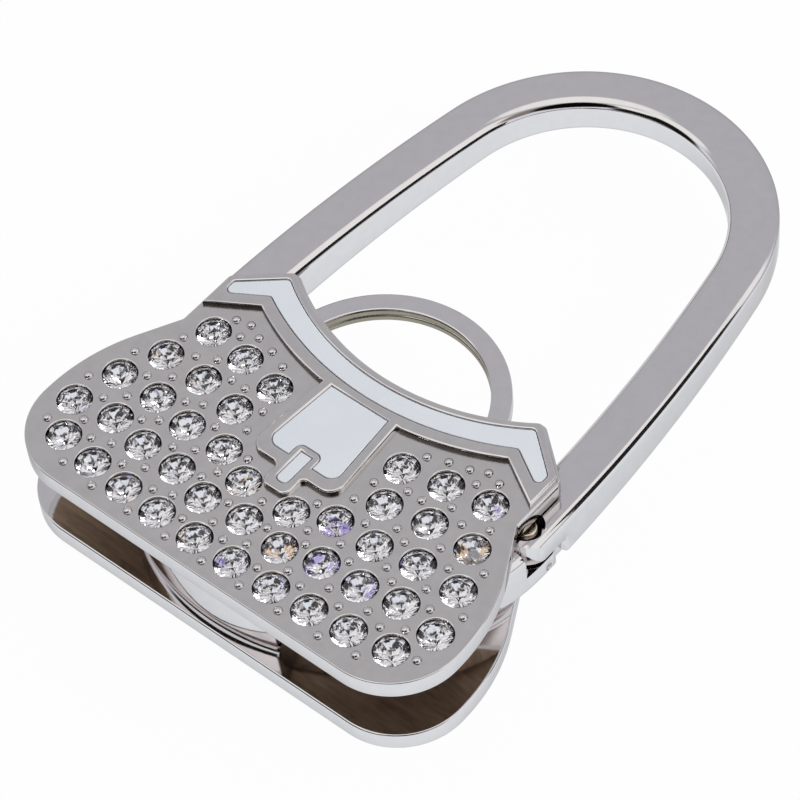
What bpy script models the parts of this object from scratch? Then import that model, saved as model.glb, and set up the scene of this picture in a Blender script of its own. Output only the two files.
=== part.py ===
"""Purse hook shaped like a small handbag, whose handle is a shackle that swings open.

Two flat shells clamp the lower arc of an oval loop. The loop's upper part is the shackle, which turns
on a half-lap joint at the right. A key ring hangs round a post between the shells. Metres, +Z up out
of the jewelled face, +Y towards the shackle, origin at the middle of the grip pad's resting face.
"""
import math

import bmesh
import bpy
from mathutils import Matrix, Vector

MM = 0.001
DEG = math.pi / 180

PARTS = "purse_hook"
CUTTERS = "cutters"

# Fits
SEAT_GAP = 0.25 * MM
STONE_GAP = 0.10 * MM
RUN_GAP = 0.40 * MM
CUT_OVERRUN = 5.0 * MM
WELD = 0.01 * MM

# Bag-shaped shells
BODY_WIDTH = 46.2 * MM
BODY_HEIGHT = 29.6 * MM
BODY_CORNER_RADIUS = 6.8 * MM
WAIST_INSET = 4.4 * MM
TOP_CORNER_INSET = 4.8 * MM
TOP_CORNER_RADIUS = 0.9 * MM
TOP_CORNER_DROP = 3.7 * MM
TOP_DIP = 4.15 * MM
TOP_ARC_RISE = 4.4 * MM
WAIST_TOP_RADIUS = 0.9 * MM
SHELL_THICKNESS = 1.9 * MM
SHELL_EDGE = 0.22 * MM

# Heights of the waist and the shoulder as shares of half the body's height, and the shoulder's rounding
# as a share of the straight side below it
WAIST_SHARE = 0.348
SHOULDER_SHARE = -0.196
SHOULDER_REACH_SHARE = 0.92

# Raised band, flap and strap of the front shell
RAISE = 0.5 * MM
RAISE_INSET = 0.25 * MM
BAND_DEPTH = 4.35 * MM
BAND_ARC_RISE = 3.4 * MM
BAND_END_RISE = 0.55 * MM
FLAP_TOP_WIDTH = 8.9 * MM
FLAP_WIDTH = 10.2 * MM
FLAP_TOP_RISE = 0.36 * MM
FLAP_BOTTOM_Y = -2.36 * MM
FLAP_BOTTOM_BOW = 0.1 * MM
FLAP_CORNER_RADIUS = 1.7 * MM
STRAP_WIDTH = 3.3 * MM
STRAP_BOTTOM_Y = -4.73 * MM
STRAP_CORNER_RADIUS = 1.0 * MM
STRAP_ROOT_RADIUS = 0.3 * MM

# Enamel inlays
RIM = 1.05 * MM
INLAY_DEPTH = 0.45 * MM
INLAY_DROP = 0.06 * MM
BAND_INLAY_RISE = 0.5 * MM
FLAP_INLAY_TOP_RISE = 0.6 * MM
FLAP_INLAY_RISE = 1.56 * MM
NOTCH_WIDTH = 2.7 * MM
NOTCH_RISE = 1.5 * MM
NOTCH_RADIUS = 0.7 * MM
STRAP_INLAY_WIDTH = 1.15 * MM
STRAP_INLAY_LENGTH = 3.4 * MM
STRAP_INLAY_RADIUS = 0.45 * MM

# Crystals
STONE_DIAMETER = 3.05 * MM
STONE_TABLE_DIAMETER = 1.75 * MM
STONE_CROWN = 0.62 * MM
STONE_GIRDLE = 0.22 * MM
STONE_PAVILION = 0.55 * MM
STONE_STAND = 0.06 * MM
STONE_SIDES = 12

# Places as shares of half the body's width and of its height above the lower edge
STONE_ROW_SHARES = (
    ((0.675, 0.687), (0.490, 0.665), (0.310, 0.636)),
    ((0.746, 0.538), (0.551, 0.534), (0.365, 0.508)),
    ((0.824, 0.403), (0.633, 0.405), (0.456, 0.380), (0.271, 0.379), (0.116, 0.327)),
    ((0.878, 0.252), (0.695, 0.274), (0.528, 0.250), (0.352, 0.245), (0.187, 0.213)),
    ((0.796, 0.137), (0.622, 0.115), (0.451, 0.102), (0.277, 0.095), (0.090, 0.093)),
)
MIDDLE_STONE_SHARES = (0.0, 0.227)

# Loop: lower arc between the shells, shackle above them
LOOP_LENGTH = 69.2 * MM
LOOP_SIDE_INSET = 2.6 * MM
LOOP_TAPER = 2.7 * MM
LOOP_BOTTOM_INSET = 0.65 * MM
LOOP_BAR_WIDTH = 4.6 * MM
LOOP_THICKNESS = 5.3 * MM
LOOP_TIP_THICKNESS = 3.6 * MM
LOOP_EDGE = 0.75 * MM

# Half-lap hinge at the right, butt joint with magnets at the left
PIVOT_RISE = 1.75 * MM
PIVOT_DIAMETER = 2.0 * MM
PIVOT_SINK = 0.45 * MM
PIVOT_BORE_DIAMETER = 2.6 * MM
PIVOT_RECESS_DIAMETER = 3.3 * MM
PIVOT_RECESS_DEPTH = 0.9 * MM
LAP_END_RADIUS = 2.35 * MM
LAP_GAP = 0.3 * MM
CROSS_PIN_DIAMETER = 0.6 * MM
CROSS_PIN_LENGTH = 0.85 * MM
CATCH_ANGLE = 10 * DEG
MAGNET_DIAMETER = 2.6 * MM
MAGNET_LENGTH = 2.0 * MM
RELIEF_START_ANGLE = -70 * DEG
RELIEF_CLEARANCE = 12.5 * DEG
RELIEF_DEPTH = 2.2 * MM

# Rivets that hold the shells to the lower arc, the right one a share of the way from shoulder to waist
RIVET_LEFT_ANGLE = -146 * DEG
RIVET_BOTTOM_ANGLE = -90 * DEG
RIVET_RIGHT_SHARE = 0.583
RIVET_DIAMETER = 1.8 * MM
RIVET_HEAD_DIAMETER = 3.0 * MM
RIVET_HEAD_HEIGHT = 0.5 * MM
RIVET_BITE = 0.7 * MM

# Key ring, its diameter as a share of the lower arc's, and its post
KEY_RING_SHARE = 0.571
KEY_WIRE_WIDTH = 1.9 * MM
KEY_WIRE_THICKNESS = 0.65 * MM
KEY_WIRE_EDGE = 0.12 * MM
KEY_COIL_PITCH = 1.1 * MM
KEY_COIL_OPEN_ANGLE = 36 * DEG
KEY_COIL_START_ANGLE = -32 * DEG
KEY_RING_LEAN = 11.5 * DEG
POST_DIAMETER = 2.4 * MM
POST_Y = 2.75 * MM
POST_BITE = 0.7 * MM

# Rubber pad under the rear shell
PAD_THICKNESS = 1.25 * MM
PAD_PROUD = 1.0 * MM
PAD_INSET = 1.7 * MM
PAD_EDGE = 0.2 * MM

# Fineness of the curves
ARC_STEP = 9 * DEG
LEAST_FACET = 0.3 * MM
TOP_ARC_STEPS = 7
LOOP_STEP = 7.2 * DEG
LOOP_SIDE_STEPS = 6
ROUND_SIDES = 20
RING_STEPS = 56

# Levels and places that follow from the sizes above
HALF_WIDTH = BODY_WIDTH / 2
BODY_TOP = BODY_HEIGHT / 2
BODY_BOTTOM = -BODY_TOP
WAIST_HALF = HALF_WIDTH - WAIST_INSET
WAIST_Y = BODY_TOP * WAIST_SHARE
SHOULDER_Y = BODY_TOP * SHOULDER_SHARE
TOP_CORNER_HALF = WAIST_HALF - TOP_CORNER_INSET
TOP_DIP_Y = BODY_TOP - TOP_DIP
BAND_DIP_Y = TOP_DIP_Y - BAND_DEPTH
REAR_BOTTOM_Z = PAD_PROUD
REAR_TOP_Z = REAR_BOTTOM_Z + SHELL_THICKNESS
LOOP_BOTTOM_Z = REAR_TOP_Z + SEAT_GAP
LOOP_MIDDLE_Z = LOOP_BOTTOM_Z + LOOP_THICKNESS / 2
LOOP_TOP_Z = LOOP_BOTTOM_Z + LOOP_THICKNESS
FRONT_BOTTOM_Z = LOOP_TOP_Z + SEAT_GAP
FRONT_TOP_Z = FRONT_BOTTOM_Z + SHELL_THICKNESS
RAISED_TOP_Z = FRONT_TOP_Z + RAISE
LOOP_BOTTOM_RADIUS = HALF_WIDTH - LOOP_SIDE_INSET
LOOP_TOP_RADIUS = LOOP_BOTTOM_RADIUS - LOOP_TAPER
LOOP_CENTRE_RADIUS = LOOP_BOTTOM_RADIUS - LOOP_BAR_WIDTH / 2
LOOP_BOTTOM_CENTRE_Y = BODY_BOTTOM + LOOP_BOTTOM_INSET + LOOP_BOTTOM_RADIUS
LOOP_TOP_CENTRE_Y = LOOP_BOTTOM_CENTRE_Y + LOOP_LENGTH - LOOP_BOTTOM_RADIUS - LOOP_TOP_RADIUS
RIVET_RIGHT_Y = SHOULDER_Y + (WAIST_Y - SHOULDER_Y) * RIVET_RIGHT_SHARE
RIVET_RIGHT_ANGLE = math.asin((RIVET_RIGHT_Y - LOOP_BOTTOM_CENTRE_Y) / LOOP_CENTRE_RADIUS)
RIVET_ANGLES = {"left": RIVET_LEFT_ANGLE, "bottom": RIVET_BOTTOM_ANGLE, "right": RIVET_RIGHT_ANGLE}
RELIEF_END_ANGLE = RIVET_RIGHT_ANGLE - RELIEF_CLEARANCE
PIVOT_Y = WAIST_Y + PIVOT_RISE
LAP_REACH = LAP_END_RADIUS + RUN_GAP
POCKET_DEPTH = STONE_GIRDLE + STONE_PAVILION - STONE_STAND + STONE_GAP
KEY_RING_DIAMETER = 2 * LOOP_BOTTOM_RADIUS * KEY_RING_SHARE
KEY_RING_INNER = KEY_RING_DIAMETER / 2 - KEY_WIRE_WIDTH
KEY_RING_HANG = KEY_RING_INNER - POST_DIAMETER / 2 - SEAT_GAP


def clear_scene():
    for old in list(bpy.data.objects):
        bpy.data.objects.remove(old, do_unlink=True)


def new_collection(name):
    bpy.context.scene.collection.children.link(bpy.data.collections.new(name))


def finish(name, colour, roughness, metallic):
    """Plain material of one piece: its colour, how rough it is and whether it is metal."""
    material = bpy.data.materials.new(name)
    material.use_nodes = True
    shader = material.node_tree.nodes["Principled BSDF"]
    shader.inputs["Base Color"].default_value = (*colour, 1.0)
    shader.inputs["Roughness"].default_value = roughness
    shader.inputs["Metallic"].default_value = metallic
    return material


def zinc(name):
    return finish(name, (0.55, 0.54, 0.55), 0.18, 1.0)


def steel(name):
    return finish(name, (0.50, 0.49, 0.48), 0.22, 1.0)


def brass(name):
    return finish(name, (0.78, 0.62, 0.40), 0.30, 1.0)


def enamel(name):
    return finish(name, (0.60, 0.64, 0.71), 0.12, 0.0)


def crystal(name):
    return finish(name, (0.86, 0.87, 0.90), 0.03, 0.0)


def magnet(name):
    return finish(name, (0.32, 0.33, 0.35), 0.30, 1.0)


def rubber(name):
    return finish(name, (0.04, 0.04, 0.045), 0.75, 0.0)


def add_piece(name, mesh, material, location=(0, 0, 0), parent=None):
    piece = bpy.data.objects.new(name, mesh)
    if not mesh.materials:
        mesh.materials.append(material(name))
    piece.location = location
    piece.parent = parent
    bpy.data.collections[PARTS].objects.link(piece)
    mesh.shade_smooth()
    mesh.set_sharp_from_angle(angle=35 * DEG)
    return piece


def add_cutter(name, mesh, location=(0, 0, 0), turn=0.0):
    cutter = bpy.data.objects.new(name, mesh)
    cutter.location = location
    cutter.rotation_euler = (0, 0, turn)
    cutter.display_type = "WIRE"
    cutter.hide_render = True
    bpy.data.collections[CUTTERS].objects.link(cutter)
    return cutter


def add_pivot_empty(name, location, turn=0.0):
    empty = bpy.data.objects.new(name, None)
    empty.location = location
    empty.rotation_euler = (0, 0, turn)
    bpy.data.collections[PARTS].objects.link(empty)
    return empty


def combine(piece, tool, operation):
    modifier = piece.modifiers.new(tool.name, "BOOLEAN")
    modifier.operation = operation
    modifier.solver = "EXACT"
    modifier.object = tool


def round_edges(piece, width, segments=2, angle=40 * DEG):
    modifier = piece.modifiers.new("rounded edges", "BEVEL")
    modifier.width = width
    modifier.segments = segments
    modifier.limit_method = "ANGLE"
    modifier.angle_limit = angle


def mesh_from_curve(curve):
    """Evaluate a curve as a closed mesh, with its loose caps welded on."""
    holder = bpy.data.objects.new(curve.name, curve)
    bpy.context.scene.collection.objects.link(holder)
    bpy.context.view_layer.update()
    graph = bpy.context.evaluated_depsgraph_get()
    mesh = bpy.data.meshes.new_from_object(holder.evaluated_get(graph))
    bpy.data.objects.remove(holder, do_unlink=True)
    bpy.data.curves.remove(curve)
    shape = bmesh.new()
    shape.from_mesh(mesh)
    bmesh.ops.remove_doubles(shape, verts=shape.verts, dist=WELD)
    bmesh.ops.recalc_face_normals(shape, faces=shape.faces)
    shape.to_mesh(mesh)
    shape.free()
    mesh.materials.clear()
    return mesh


def plate_mesh(name, corners, bottom, top):
    """Flat solid between two levels, its outline given as (x, y, radius) corners."""
    outline = filleted(corners)
    curve = bpy.data.curves.new(name, "CURVE")
    curve.dimensions = "2D"
    curve.fill_mode = "BOTH"
    curve.extrude = (top - bottom) / 2
    spline = curve.splines.new("POLY")
    spline.points.add(len(outline) - 1)
    for point, (x, y) in zip(spline.points, outline):
        point.co = (x, y, 0, 1)
    spline.use_cyclic_u = True
    mesh = mesh_from_curve(curve)
    mesh.transform(Matrix.Translation((0, 0, (top + bottom) / 2)))
    return mesh


def cylinder_mesh(name, diameter, length, sides=ROUND_SIDES):
    """Cylinder along +Z that starts at its own origin."""
    shape = bmesh.new()
    middle = Matrix.Translation((0, 0, length / 2))
    bmesh.ops.create_cone(shape, cap_ends=True, segments=sides, radius1=diameter / 2,
                          radius2=diameter / 2, depth=length, matrix=middle)
    mesh = bpy.data.meshes.new(name)
    shape.to_mesh(mesh)
    shape.free()
    return mesh


def box_mesh(name, low, high):
    shape = bmesh.new()
    middle = (Vector(low) + Vector(high)) / 2
    size = Vector(high) - Vector(low)
    bmesh.ops.create_cube(shape, size=1, matrix=Matrix.Translation(middle) @ Matrix.Diagonal((*size, 1)))
    mesh = bpy.data.meshes.new(name)
    shape.to_mesh(mesh)
    shape.free()
    return mesh


def turned_profile_mesh(name, profile):
    """Open profile at +X, listed down its outer side, ready for a Screw modifier."""
    shape = bmesh.new()
    corners = [shape.verts.new((radius, 0, z)) for radius, z in profile]
    for upper, lower in zip(corners, corners[1:]):
        shape.edges.new((upper, lower))
    mesh = bpy.data.meshes.new(name)
    shape.to_mesh(mesh)
    shape.free()
    return mesh


def turn_profile(piece, sides):
    modifier = piece.modifiers.new("turned", "SCREW")
    modifier.steps = sides
    modifier.render_steps = sides
    modifier.use_merge_vertices = True
    modifier.merge_threshold = WELD
    modifier.use_smooth_shade = False


def drawn_in(corners, inset):
    """Move every side of an anticlockwise outline inwards and let them meet again at the corners."""
    moved = []
    for index, (x, y, radius) in enumerate(corners):
        here = Vector((x, y))
        back = (here - Vector(corners[index - 1][:2])).normalized()
        ahead = (Vector(corners[(index + 1) % len(corners)][:2]) - here).normalized()
        inward = Vector((-back.y - ahead.y, back.x + ahead.x)).normalized()
        x, y = here + inward * inset / inward.dot(Vector((-back.y, back.x)))
        if radius > 0:
            hollow = back.cross(ahead) < 0
            radius = max(0, radius + inset if hollow else radius - inset)
        moved.append((x, y, radius))
    return moved


def filleted(corners):
    """Closed outline through (x, y, radius) corners, each rounded to its radius."""
    outline = []
    for index, (x, y, radius) in enumerate(corners):
        here = Vector((x, y))
        back = Vector(corners[index - 1][:2]) - here
        ahead = Vector(corners[(index + 1) % len(corners)][:2]) - here
        bend = math.pi - back.angle(ahead)
        if radius == 0 or bend < ARC_STEP / 2:
            outline.append((x, y))
            continue
        reach = radius * math.tan(bend / 2)
        start = here + back.normalized() * reach
        end = here + ahead.normalized() * reach
        centre = here + (back.normalized() + ahead.normalized()).normalized() * radius / math.cos(bend / 2)
        steps = max(2, min(round(bend / ARC_STEP), round(radius * bend / LEAST_FACET)))
        spin = (start - centre).angle_signed(end - centre)
        for step in range(steps + 1):
            arm = start - centre
            arm.rotate(Matrix.Rotation(-spin * step / steps, 2))
            outline.append(tuple(centre + arm))
    return outline


def mirrored(half):
    """Corners of the right half, bottom to top, followed by their images on the left."""
    return half + [(-x, y, radius) for x, y, radius in reversed(half) if x > 0]


def hollow_arc(dip_y, rise, end_radius):
    """Hollow edge across the bag from its right end to the middle; the end is rounded."""
    places = [TOP_CORNER_HALF * (1 - step / TOP_ARC_STEPS) for step in range(TOP_ARC_STEPS + 1)]
    radius = (TOP_CORNER_HALF ** 2 + rise ** 2) / (2 * rise)
    arc = [(x, dip_y + radius - math.sqrt(radius ** 2 - x ** 2), 0) for x in places]
    return [(*arc[0][:2], end_radius)] + arc[1:]


def bag_top():
    """Corners of the bag's shoulders and hollow top, right half."""
    return [
        (WAIST_HALF, BODY_TOP - TOP_CORNER_DROP, WAIST_TOP_RADIUS),
        *hollow_arc(TOP_DIP_Y, TOP_ARC_RISE, TOP_CORNER_RADIUS),
    ]


def shoulder_radius():
    """Radius that spends the shoulder's share of the straight side below it."""
    reach = (SHOULDER_Y - BODY_BOTTOM - BODY_CORNER_RADIUS) * SHOULDER_REACH_SHARE
    bend = math.atan2(WAIST_INSET, WAIST_Y - SHOULDER_Y)
    return reach / math.tan(bend / 2)


def bag_corners():
    """Bag-shaped outline of the shells."""
    half = [
        (HALF_WIDTH, BODY_BOTTOM, BODY_CORNER_RADIUS),
        (HALF_WIDTH, SHOULDER_Y, shoulder_radius()),
        (WAIST_HALF, WAIST_Y, TOP_CORNER_RADIUS),
        *bag_top(),
    ]
    return mirrored(half)


def band_underside(dip_y):
    """Lower edge of the band from the middle to its right end."""
    return [
        *reversed(hollow_arc(dip_y, BAND_ARC_RISE, 0)),
        (WAIST_HALF, dip_y + BAND_END_RISE, 0),
    ]


def raised_corners():
    """Band, flap and strap that stand proud of the crystal field."""
    underside = [place for place in band_underside(BAND_DIP_Y) if place[0] > FLAP_TOP_WIDTH / 2]
    half = [
        (STRAP_WIDTH / 2, STRAP_BOTTOM_Y, STRAP_CORNER_RADIUS),
        (STRAP_WIDTH / 2, FLAP_BOTTOM_Y + FLAP_BOTTOM_BOW, STRAP_ROOT_RADIUS),
        (FLAP_WIDTH / 2, FLAP_BOTTOM_Y, FLAP_CORNER_RADIUS),
        (FLAP_TOP_WIDTH / 2, BAND_DIP_Y + FLAP_TOP_RISE, 0),
        *underside,
    ]
    return mirrored(half + bag_top())


def band_inlay_corners():
    """Enamel strip of the band, a rim's width inside the band's edges."""
    underside = band_underside(BAND_DIP_Y + BAND_INLAY_RISE)
    half = underside[1:] + bag_top()
    left = [(-x, y, radius) for x, y, radius in reversed(half) if x > 0]
    return drawn_in(half + left + underside[:1], RIM)


def flap_inlay_corners():
    """Enamel panel of the flap with the round-topped notch above the strap."""
    bottom_y = FLAP_BOTTOM_Y + FLAP_INLAY_RISE
    notch_y = bottom_y + NOTCH_RISE
    margin = RAISE_INSET + RIM
    half = [
        (NOTCH_WIDTH / 2, bottom_y, 0),
        (FLAP_WIDTH / 2 - margin, bottom_y, STRAP_CORNER_RADIUS),
        (FLAP_TOP_WIDTH / 2 - margin, BAND_DIP_Y + FLAP_INLAY_TOP_RISE, 0),
    ]
    left = [(-x, y, radius) for x, y, radius in reversed(half)]
    notch = [(-NOTCH_WIDTH / 2, notch_y, NOTCH_RADIUS), (NOTCH_WIDTH / 2, notch_y, NOTCH_RADIUS)]
    return half + left + notch


def strap_inlay_corners():
    half = STRAP_INLAY_WIDTH / 2
    low = STRAP_BOTTOM_Y + RAISE_INSET + RIM
    high = low + STRAP_INLAY_LENGTH
    radius = STRAP_INLAY_RADIUS
    return [(half, low, radius), (half, high, 0), (-half, high, 0), (-half, low, radius)]


def stone_places():
    """Right, left and middle places of the crystals, row by row from the top."""
    places = []
    for row in STONE_ROW_SHARES:
        right = [(x * HALF_WIDTH, BODY_BOTTOM + y * BODY_HEIGHT) for x, y in row]
        places += [(-x, y) for x, y in right] + list(reversed(right))
    x, y = MIDDLE_STONE_SHARES
    places.append((x * HALF_WIDTH, BODY_BOTTOM + y * BODY_HEIGHT))
    return places


def make_crystals():
    """Round stones with a flat table and a faceted crown, each in its own blind seat."""
    radius = STONE_DIAMETER / 2
    profile = (
        (0, STONE_CROWN),
        (STONE_TABLE_DIAMETER / 2, STONE_CROWN),
        (radius, 0),
        (radius, -STONE_GIRDLE),
        (0, -STONE_GIRDLE - STONE_PAVILION),
    )
    mesh = turned_profile_mesh("crystal", profile)
    for number, (x, y) in enumerate(stone_places(), 1):
        place = (x, y, FRONT_TOP_Z + STONE_STAND)
        stone = add_piece(f"crystal_{number:02d}", mesh, crystal, place)
        turn_profile(stone, STONE_SIDES)


def cut_stone_seats(shell):
    shape = bmesh.new()
    radius = STONE_DIAMETER / 2 + STONE_GAP
    depth = POCKET_DEPTH + CUT_OVERRUN
    for x, y in stone_places():
        middle = Matrix.Translation((x, y, FRONT_TOP_Z - POCKET_DEPTH + depth / 2))
        bmesh.ops.create_cone(shape, cap_ends=True, segments=STONE_SIDES, radius1=radius,
                              radius2=radius, depth=depth, matrix=middle)
    mesh = bpy.data.meshes.new("stone_seats")
    shape.to_mesh(mesh)
    shape.free()
    combine(shell, add_cutter("stone_seats", mesh), "DIFFERENCE")


def cut_inlay(shell, name, corners):
    floor = RAISED_TOP_Z - INLAY_DEPTH
    mesh = plate_mesh(name, drawn_in(corners, -STONE_GAP), floor, RAISED_TOP_Z + CUT_OVERRUN)
    combine(shell, add_cutter(name, mesh), "DIFFERENCE")


def add_inlay(name, corners):
    floor = RAISED_TOP_Z - INLAY_DEPTH + STONE_GAP
    inlay = add_piece(name, plate_mesh(name, corners, floor, RAISED_TOP_Z - INLAY_DROP), enamel)
    round_edges(inlay, INLAY_DROP, segments=1)


def arc_place(angle, radius=LOOP_CENTRE_RADIUS):
    """Point on the loop's lower arc."""
    return radius * math.cos(angle), LOOP_BOTTOM_CENTRE_Y + radius * math.sin(angle)


def drill(piece, name, diameter, bottom, top, place):
    tool = add_cutter(name, cylinder_mesh(name, diameter, top - bottom), (*place, bottom))
    combine(piece, tool, "DIFFERENCE")


def make_front_plate():
    """Front shell: bag outline, raised band with flap and strap, seats, inlay recesses, blind holes."""
    mesh = plate_mesh("front_plate", bag_corners(), FRONT_BOTTOM_Z, FRONT_TOP_Z)
    shell = add_piece("front_plate", mesh, zinc)
    round_edges(shell, SHELL_EDGE)
    relief_bottom = FRONT_TOP_Z - SHELL_THICKNESS / 2
    band = drawn_in(raised_corners(), RAISE_INSET)
    relief = add_cutter("raised_band", plate_mesh("raised_band", band, relief_bottom, RAISED_TOP_Z))
    combine(shell, relief, "UNION")
    cut_inlay(shell, "band_recess", band_inlay_corners())
    cut_inlay(shell, "flap_recess", flap_inlay_corners())
    cut_inlay(shell, "strap_recess", strap_inlay_corners())
    cut_stone_seats(shell)
    bottom = FRONT_BOTTOM_Z - CUT_OVERRUN
    for side, angle in RIVET_ANGLES.items():
        drill(shell, f"front_rivet_hole_{side}", RIVET_DIAMETER + STONE_GAP * 2, bottom,
              FRONT_BOTTOM_Z + RIVET_BITE + STONE_GAP, arc_place(angle))
    drill(shell, "front_post_hole", POST_DIAMETER + STONE_GAP * 2, bottom,
          FRONT_BOTTOM_Z + POST_BITE + STONE_GAP, (0, POST_Y))


def make_enamel():
    add_inlay("enamel_band", band_inlay_corners())
    add_inlay("enamel_flap", flap_inlay_corners())
    add_inlay("enamel_tab", strap_inlay_corners())


def make_back_plate():
    """Rear shell: the same outline, a shallow recess for the pad, countersinks for the rivet heads."""
    mesh = plate_mesh("back_plate", bag_corners(), REAR_BOTTOM_Z, REAR_TOP_Z)
    shell = add_piece("back_plate", mesh, zinc)
    round_edges(shell, SHELL_EDGE)
    ceiling = PAD_THICKNESS + SEAT_GAP
    seat = drawn_in(bag_corners(), PAD_INSET - SEAT_GAP)
    recess = plate_mesh("pad_recess", seat, REAR_BOTTOM_Z - CUT_OVERRUN, ceiling)
    combine(shell, add_cutter("pad_recess", recess), "DIFFERENCE")
    for side, angle in RIVET_ANGLES.items():
        place = arc_place(angle)
        drill(shell, f"rear_rivet_hole_{side}", RIVET_DIAMETER + STONE_GAP * 2, REAR_BOTTOM_Z,
              REAR_TOP_Z + CUT_OVERRUN, place)
        drill(shell, f"rear_rivet_sink_{side}", RIVET_HEAD_DIAMETER + STONE_GAP * 2, REAR_BOTTOM_Z,
              ceiling + RIVET_HEAD_HEIGHT + STONE_GAP, place)
    drill(shell, "rear_post_hole", POST_DIAMETER + STONE_GAP * 2, REAR_TOP_Z - POST_BITE - STONE_GAP,
          REAR_TOP_Z + CUT_OVERRUN, (0, POST_Y))


def make_grip_pad():
    """Non-slip rubber pad that the hook rests on."""
    mesh = plate_mesh("grip_pad", drawn_in(bag_corners(), PAD_INSET), 0, PAD_THICKNESS)
    pad = add_piece("grip_pad", mesh, rubber)
    round_edges(pad, PAD_EDGE)


def make_rivets():
    """Flat-headed rivets from the rear shell through the lower arc into the front shell."""
    head_bottom = PAD_THICKNESS + SEAT_GAP
    shank_bottom = head_bottom + RIVET_HEAD_HEIGHT
    top = FRONT_BOTTOM_Z + RIVET_BITE
    profile = (
        (0, top),
        (RIVET_DIAMETER / 2, top),
        (RIVET_DIAMETER / 2, shank_bottom),
        (RIVET_HEAD_DIAMETER / 2, shank_bottom),
        (RIVET_HEAD_DIAMETER / 2, head_bottom),
        (0, head_bottom),
    )
    mesh = turned_profile_mesh("rivet", profile)
    for side, angle in RIVET_ANGLES.items():
        rivet = add_piece(f"rivet_{side}", mesh, steel, (*arc_place(angle), 0))
        turn_profile(rivet, ROUND_SIDES)


def loop_side():
    """Radius and reach of the long side arcs, which touch both end arcs of the centre line."""
    top = LOOP_TOP_RADIUS - LOOP_BAR_WIDTH / 2
    bottom = LOOP_CENTRE_RADIUS
    rise = LOOP_TOP_CENTRE_Y - LOOP_BOTTOM_CENTRE_Y
    radius = (rise ** 2 + bottom ** 2 - top ** 2) / (2 * (bottom - top))
    return radius, math.asin(rise / (radius - top))


def loop_path():
    """Centre line of the whole loop: two end arcs joined by the side arcs."""
    side, lean = loop_side()
    top = LOOP_TOP_RADIUS - LOOP_BAR_WIDTH / 2
    steps = round((math.pi - 2 * lean) / LOOP_STEP)
    turns = [lean + (math.pi - 2 * lean) * step / steps for step in range(steps + 1)]
    rising = [lean * step / LOOP_SIDE_STEPS for step in range(1, LOOP_SIDE_STEPS)]
    steps = round(math.pi / LOOP_STEP)
    path = [arc_place(-math.pi + math.pi * step / steps) for step in range(steps + 1)]
    centre_x = LOOP_CENTRE_RADIUS - side
    right = [(centre_x + side * math.cos(angle), LOOP_BOTTOM_CENTRE_Y + side * math.sin(angle))
             for angle in rising]
    tip = [(top * math.cos(angle), LOOP_TOP_CENTRE_Y + top * math.sin(angle)) for angle in turns]
    return path + right + tip + [(-x, y) for x, y in reversed(right)]


def section_curve(name, width, height, edge, steps=2):
    """Rectangular section with rounded corners, for a bar or a flat wire."""
    corner = (width / 2 - edge, height / 2 - edge)
    curve = bpy.data.curves.new(name, "CURVE")
    curve.dimensions = "2D"
    curve.fill_mode = "NONE"
    spline = curve.splines.new("POLY")
    points = []
    for quarter, (side_x, side_y) in enumerate(((1, 1), (-1, 1), (-1, -1), (1, -1))):
        for step in range(steps + 1):
            angle = math.pi / 2 * (quarter + step / steps)
            x = side_x * corner[0] + edge * math.cos(angle)
            y = side_y * corner[1] + edge * math.sin(angle)
            points.append((x, y))
    spline.points.add(len(points) - 1)
    for point, (x, y) in zip(spline.points, points):
        point.co = (x, y, 0, 1)
    spline.use_cyclic_u = True
    return curve


def swept_mesh(name, path, section, closed):
    """Section carried along a path with its height kept upright."""
    curve = bpy.data.curves.new(name, "CURVE")
    curve.dimensions = "3D"
    curve.twist_mode = "Z_UP"
    curve.bevel_mode = "OBJECT"
    curve.bevel_object = bpy.data.objects.new(section.name, section)
    curve.use_fill_caps = not closed
    spline = curve.splines.new("POLY")
    spline.points.add(len(path) - 1)
    for point, place in zip(spline.points, path):
        point.co = (*place, 1)
    spline.use_cyclic_u = closed
    guide = curve.bevel_object
    mesh = mesh_from_curve(curve)
    bpy.data.objects.remove(guide, do_unlink=True)
    return mesh


def loop_mesh(name):
    """Whole loop of rounded square bar, thinner towards the shackle's tip."""
    section = section_curve("bar_section", LOOP_BAR_WIDTH, LOOP_THICKNESS, LOOP_EDGE)
    path = [(x, y, 0) for x, y in loop_path()]
    mesh = swept_mesh(name, path, section, closed=True)
    start = PIVOT_Y + LAP_REACH
    tip = LOOP_TOP_CENTRE_Y + LOOP_TOP_RADIUS
    thinning = 1 - LOOP_TIP_THICKNESS / LOOP_THICKNESS
    for corner in mesh.vertices:
        share = max(0.0, (corner.co.y - start) / (tip - start))
        corner.co.z *= 1 - thinning * share
    mesh.transform(Matrix.Translation((0, 0, LOOP_MIDDLE_Z)))
    return mesh


def pivot_place():
    """The hinge axis, in the middle of the loop's right leg."""
    path = [place for place in loop_path() if place[0] > 0]
    below = max((place for place in path if place[1] <= PIVOT_Y), key=lambda place: place[1])
    above = min((place for place in path if place[1] > PIVOT_Y), key=lambda place: place[1])
    share = (PIVOT_Y - below[1]) / (above[1] - below[1])
    return below[0] + (above[0] - below[0]) * share, PIVOT_Y


def catch_frame():
    """Place and turn of the butt joint on the left, which lies along a radius of the lower arc."""
    x, y = arc_place(math.pi + CATCH_ANGLE)
    return (x, y), CATCH_ANGLE


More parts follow.
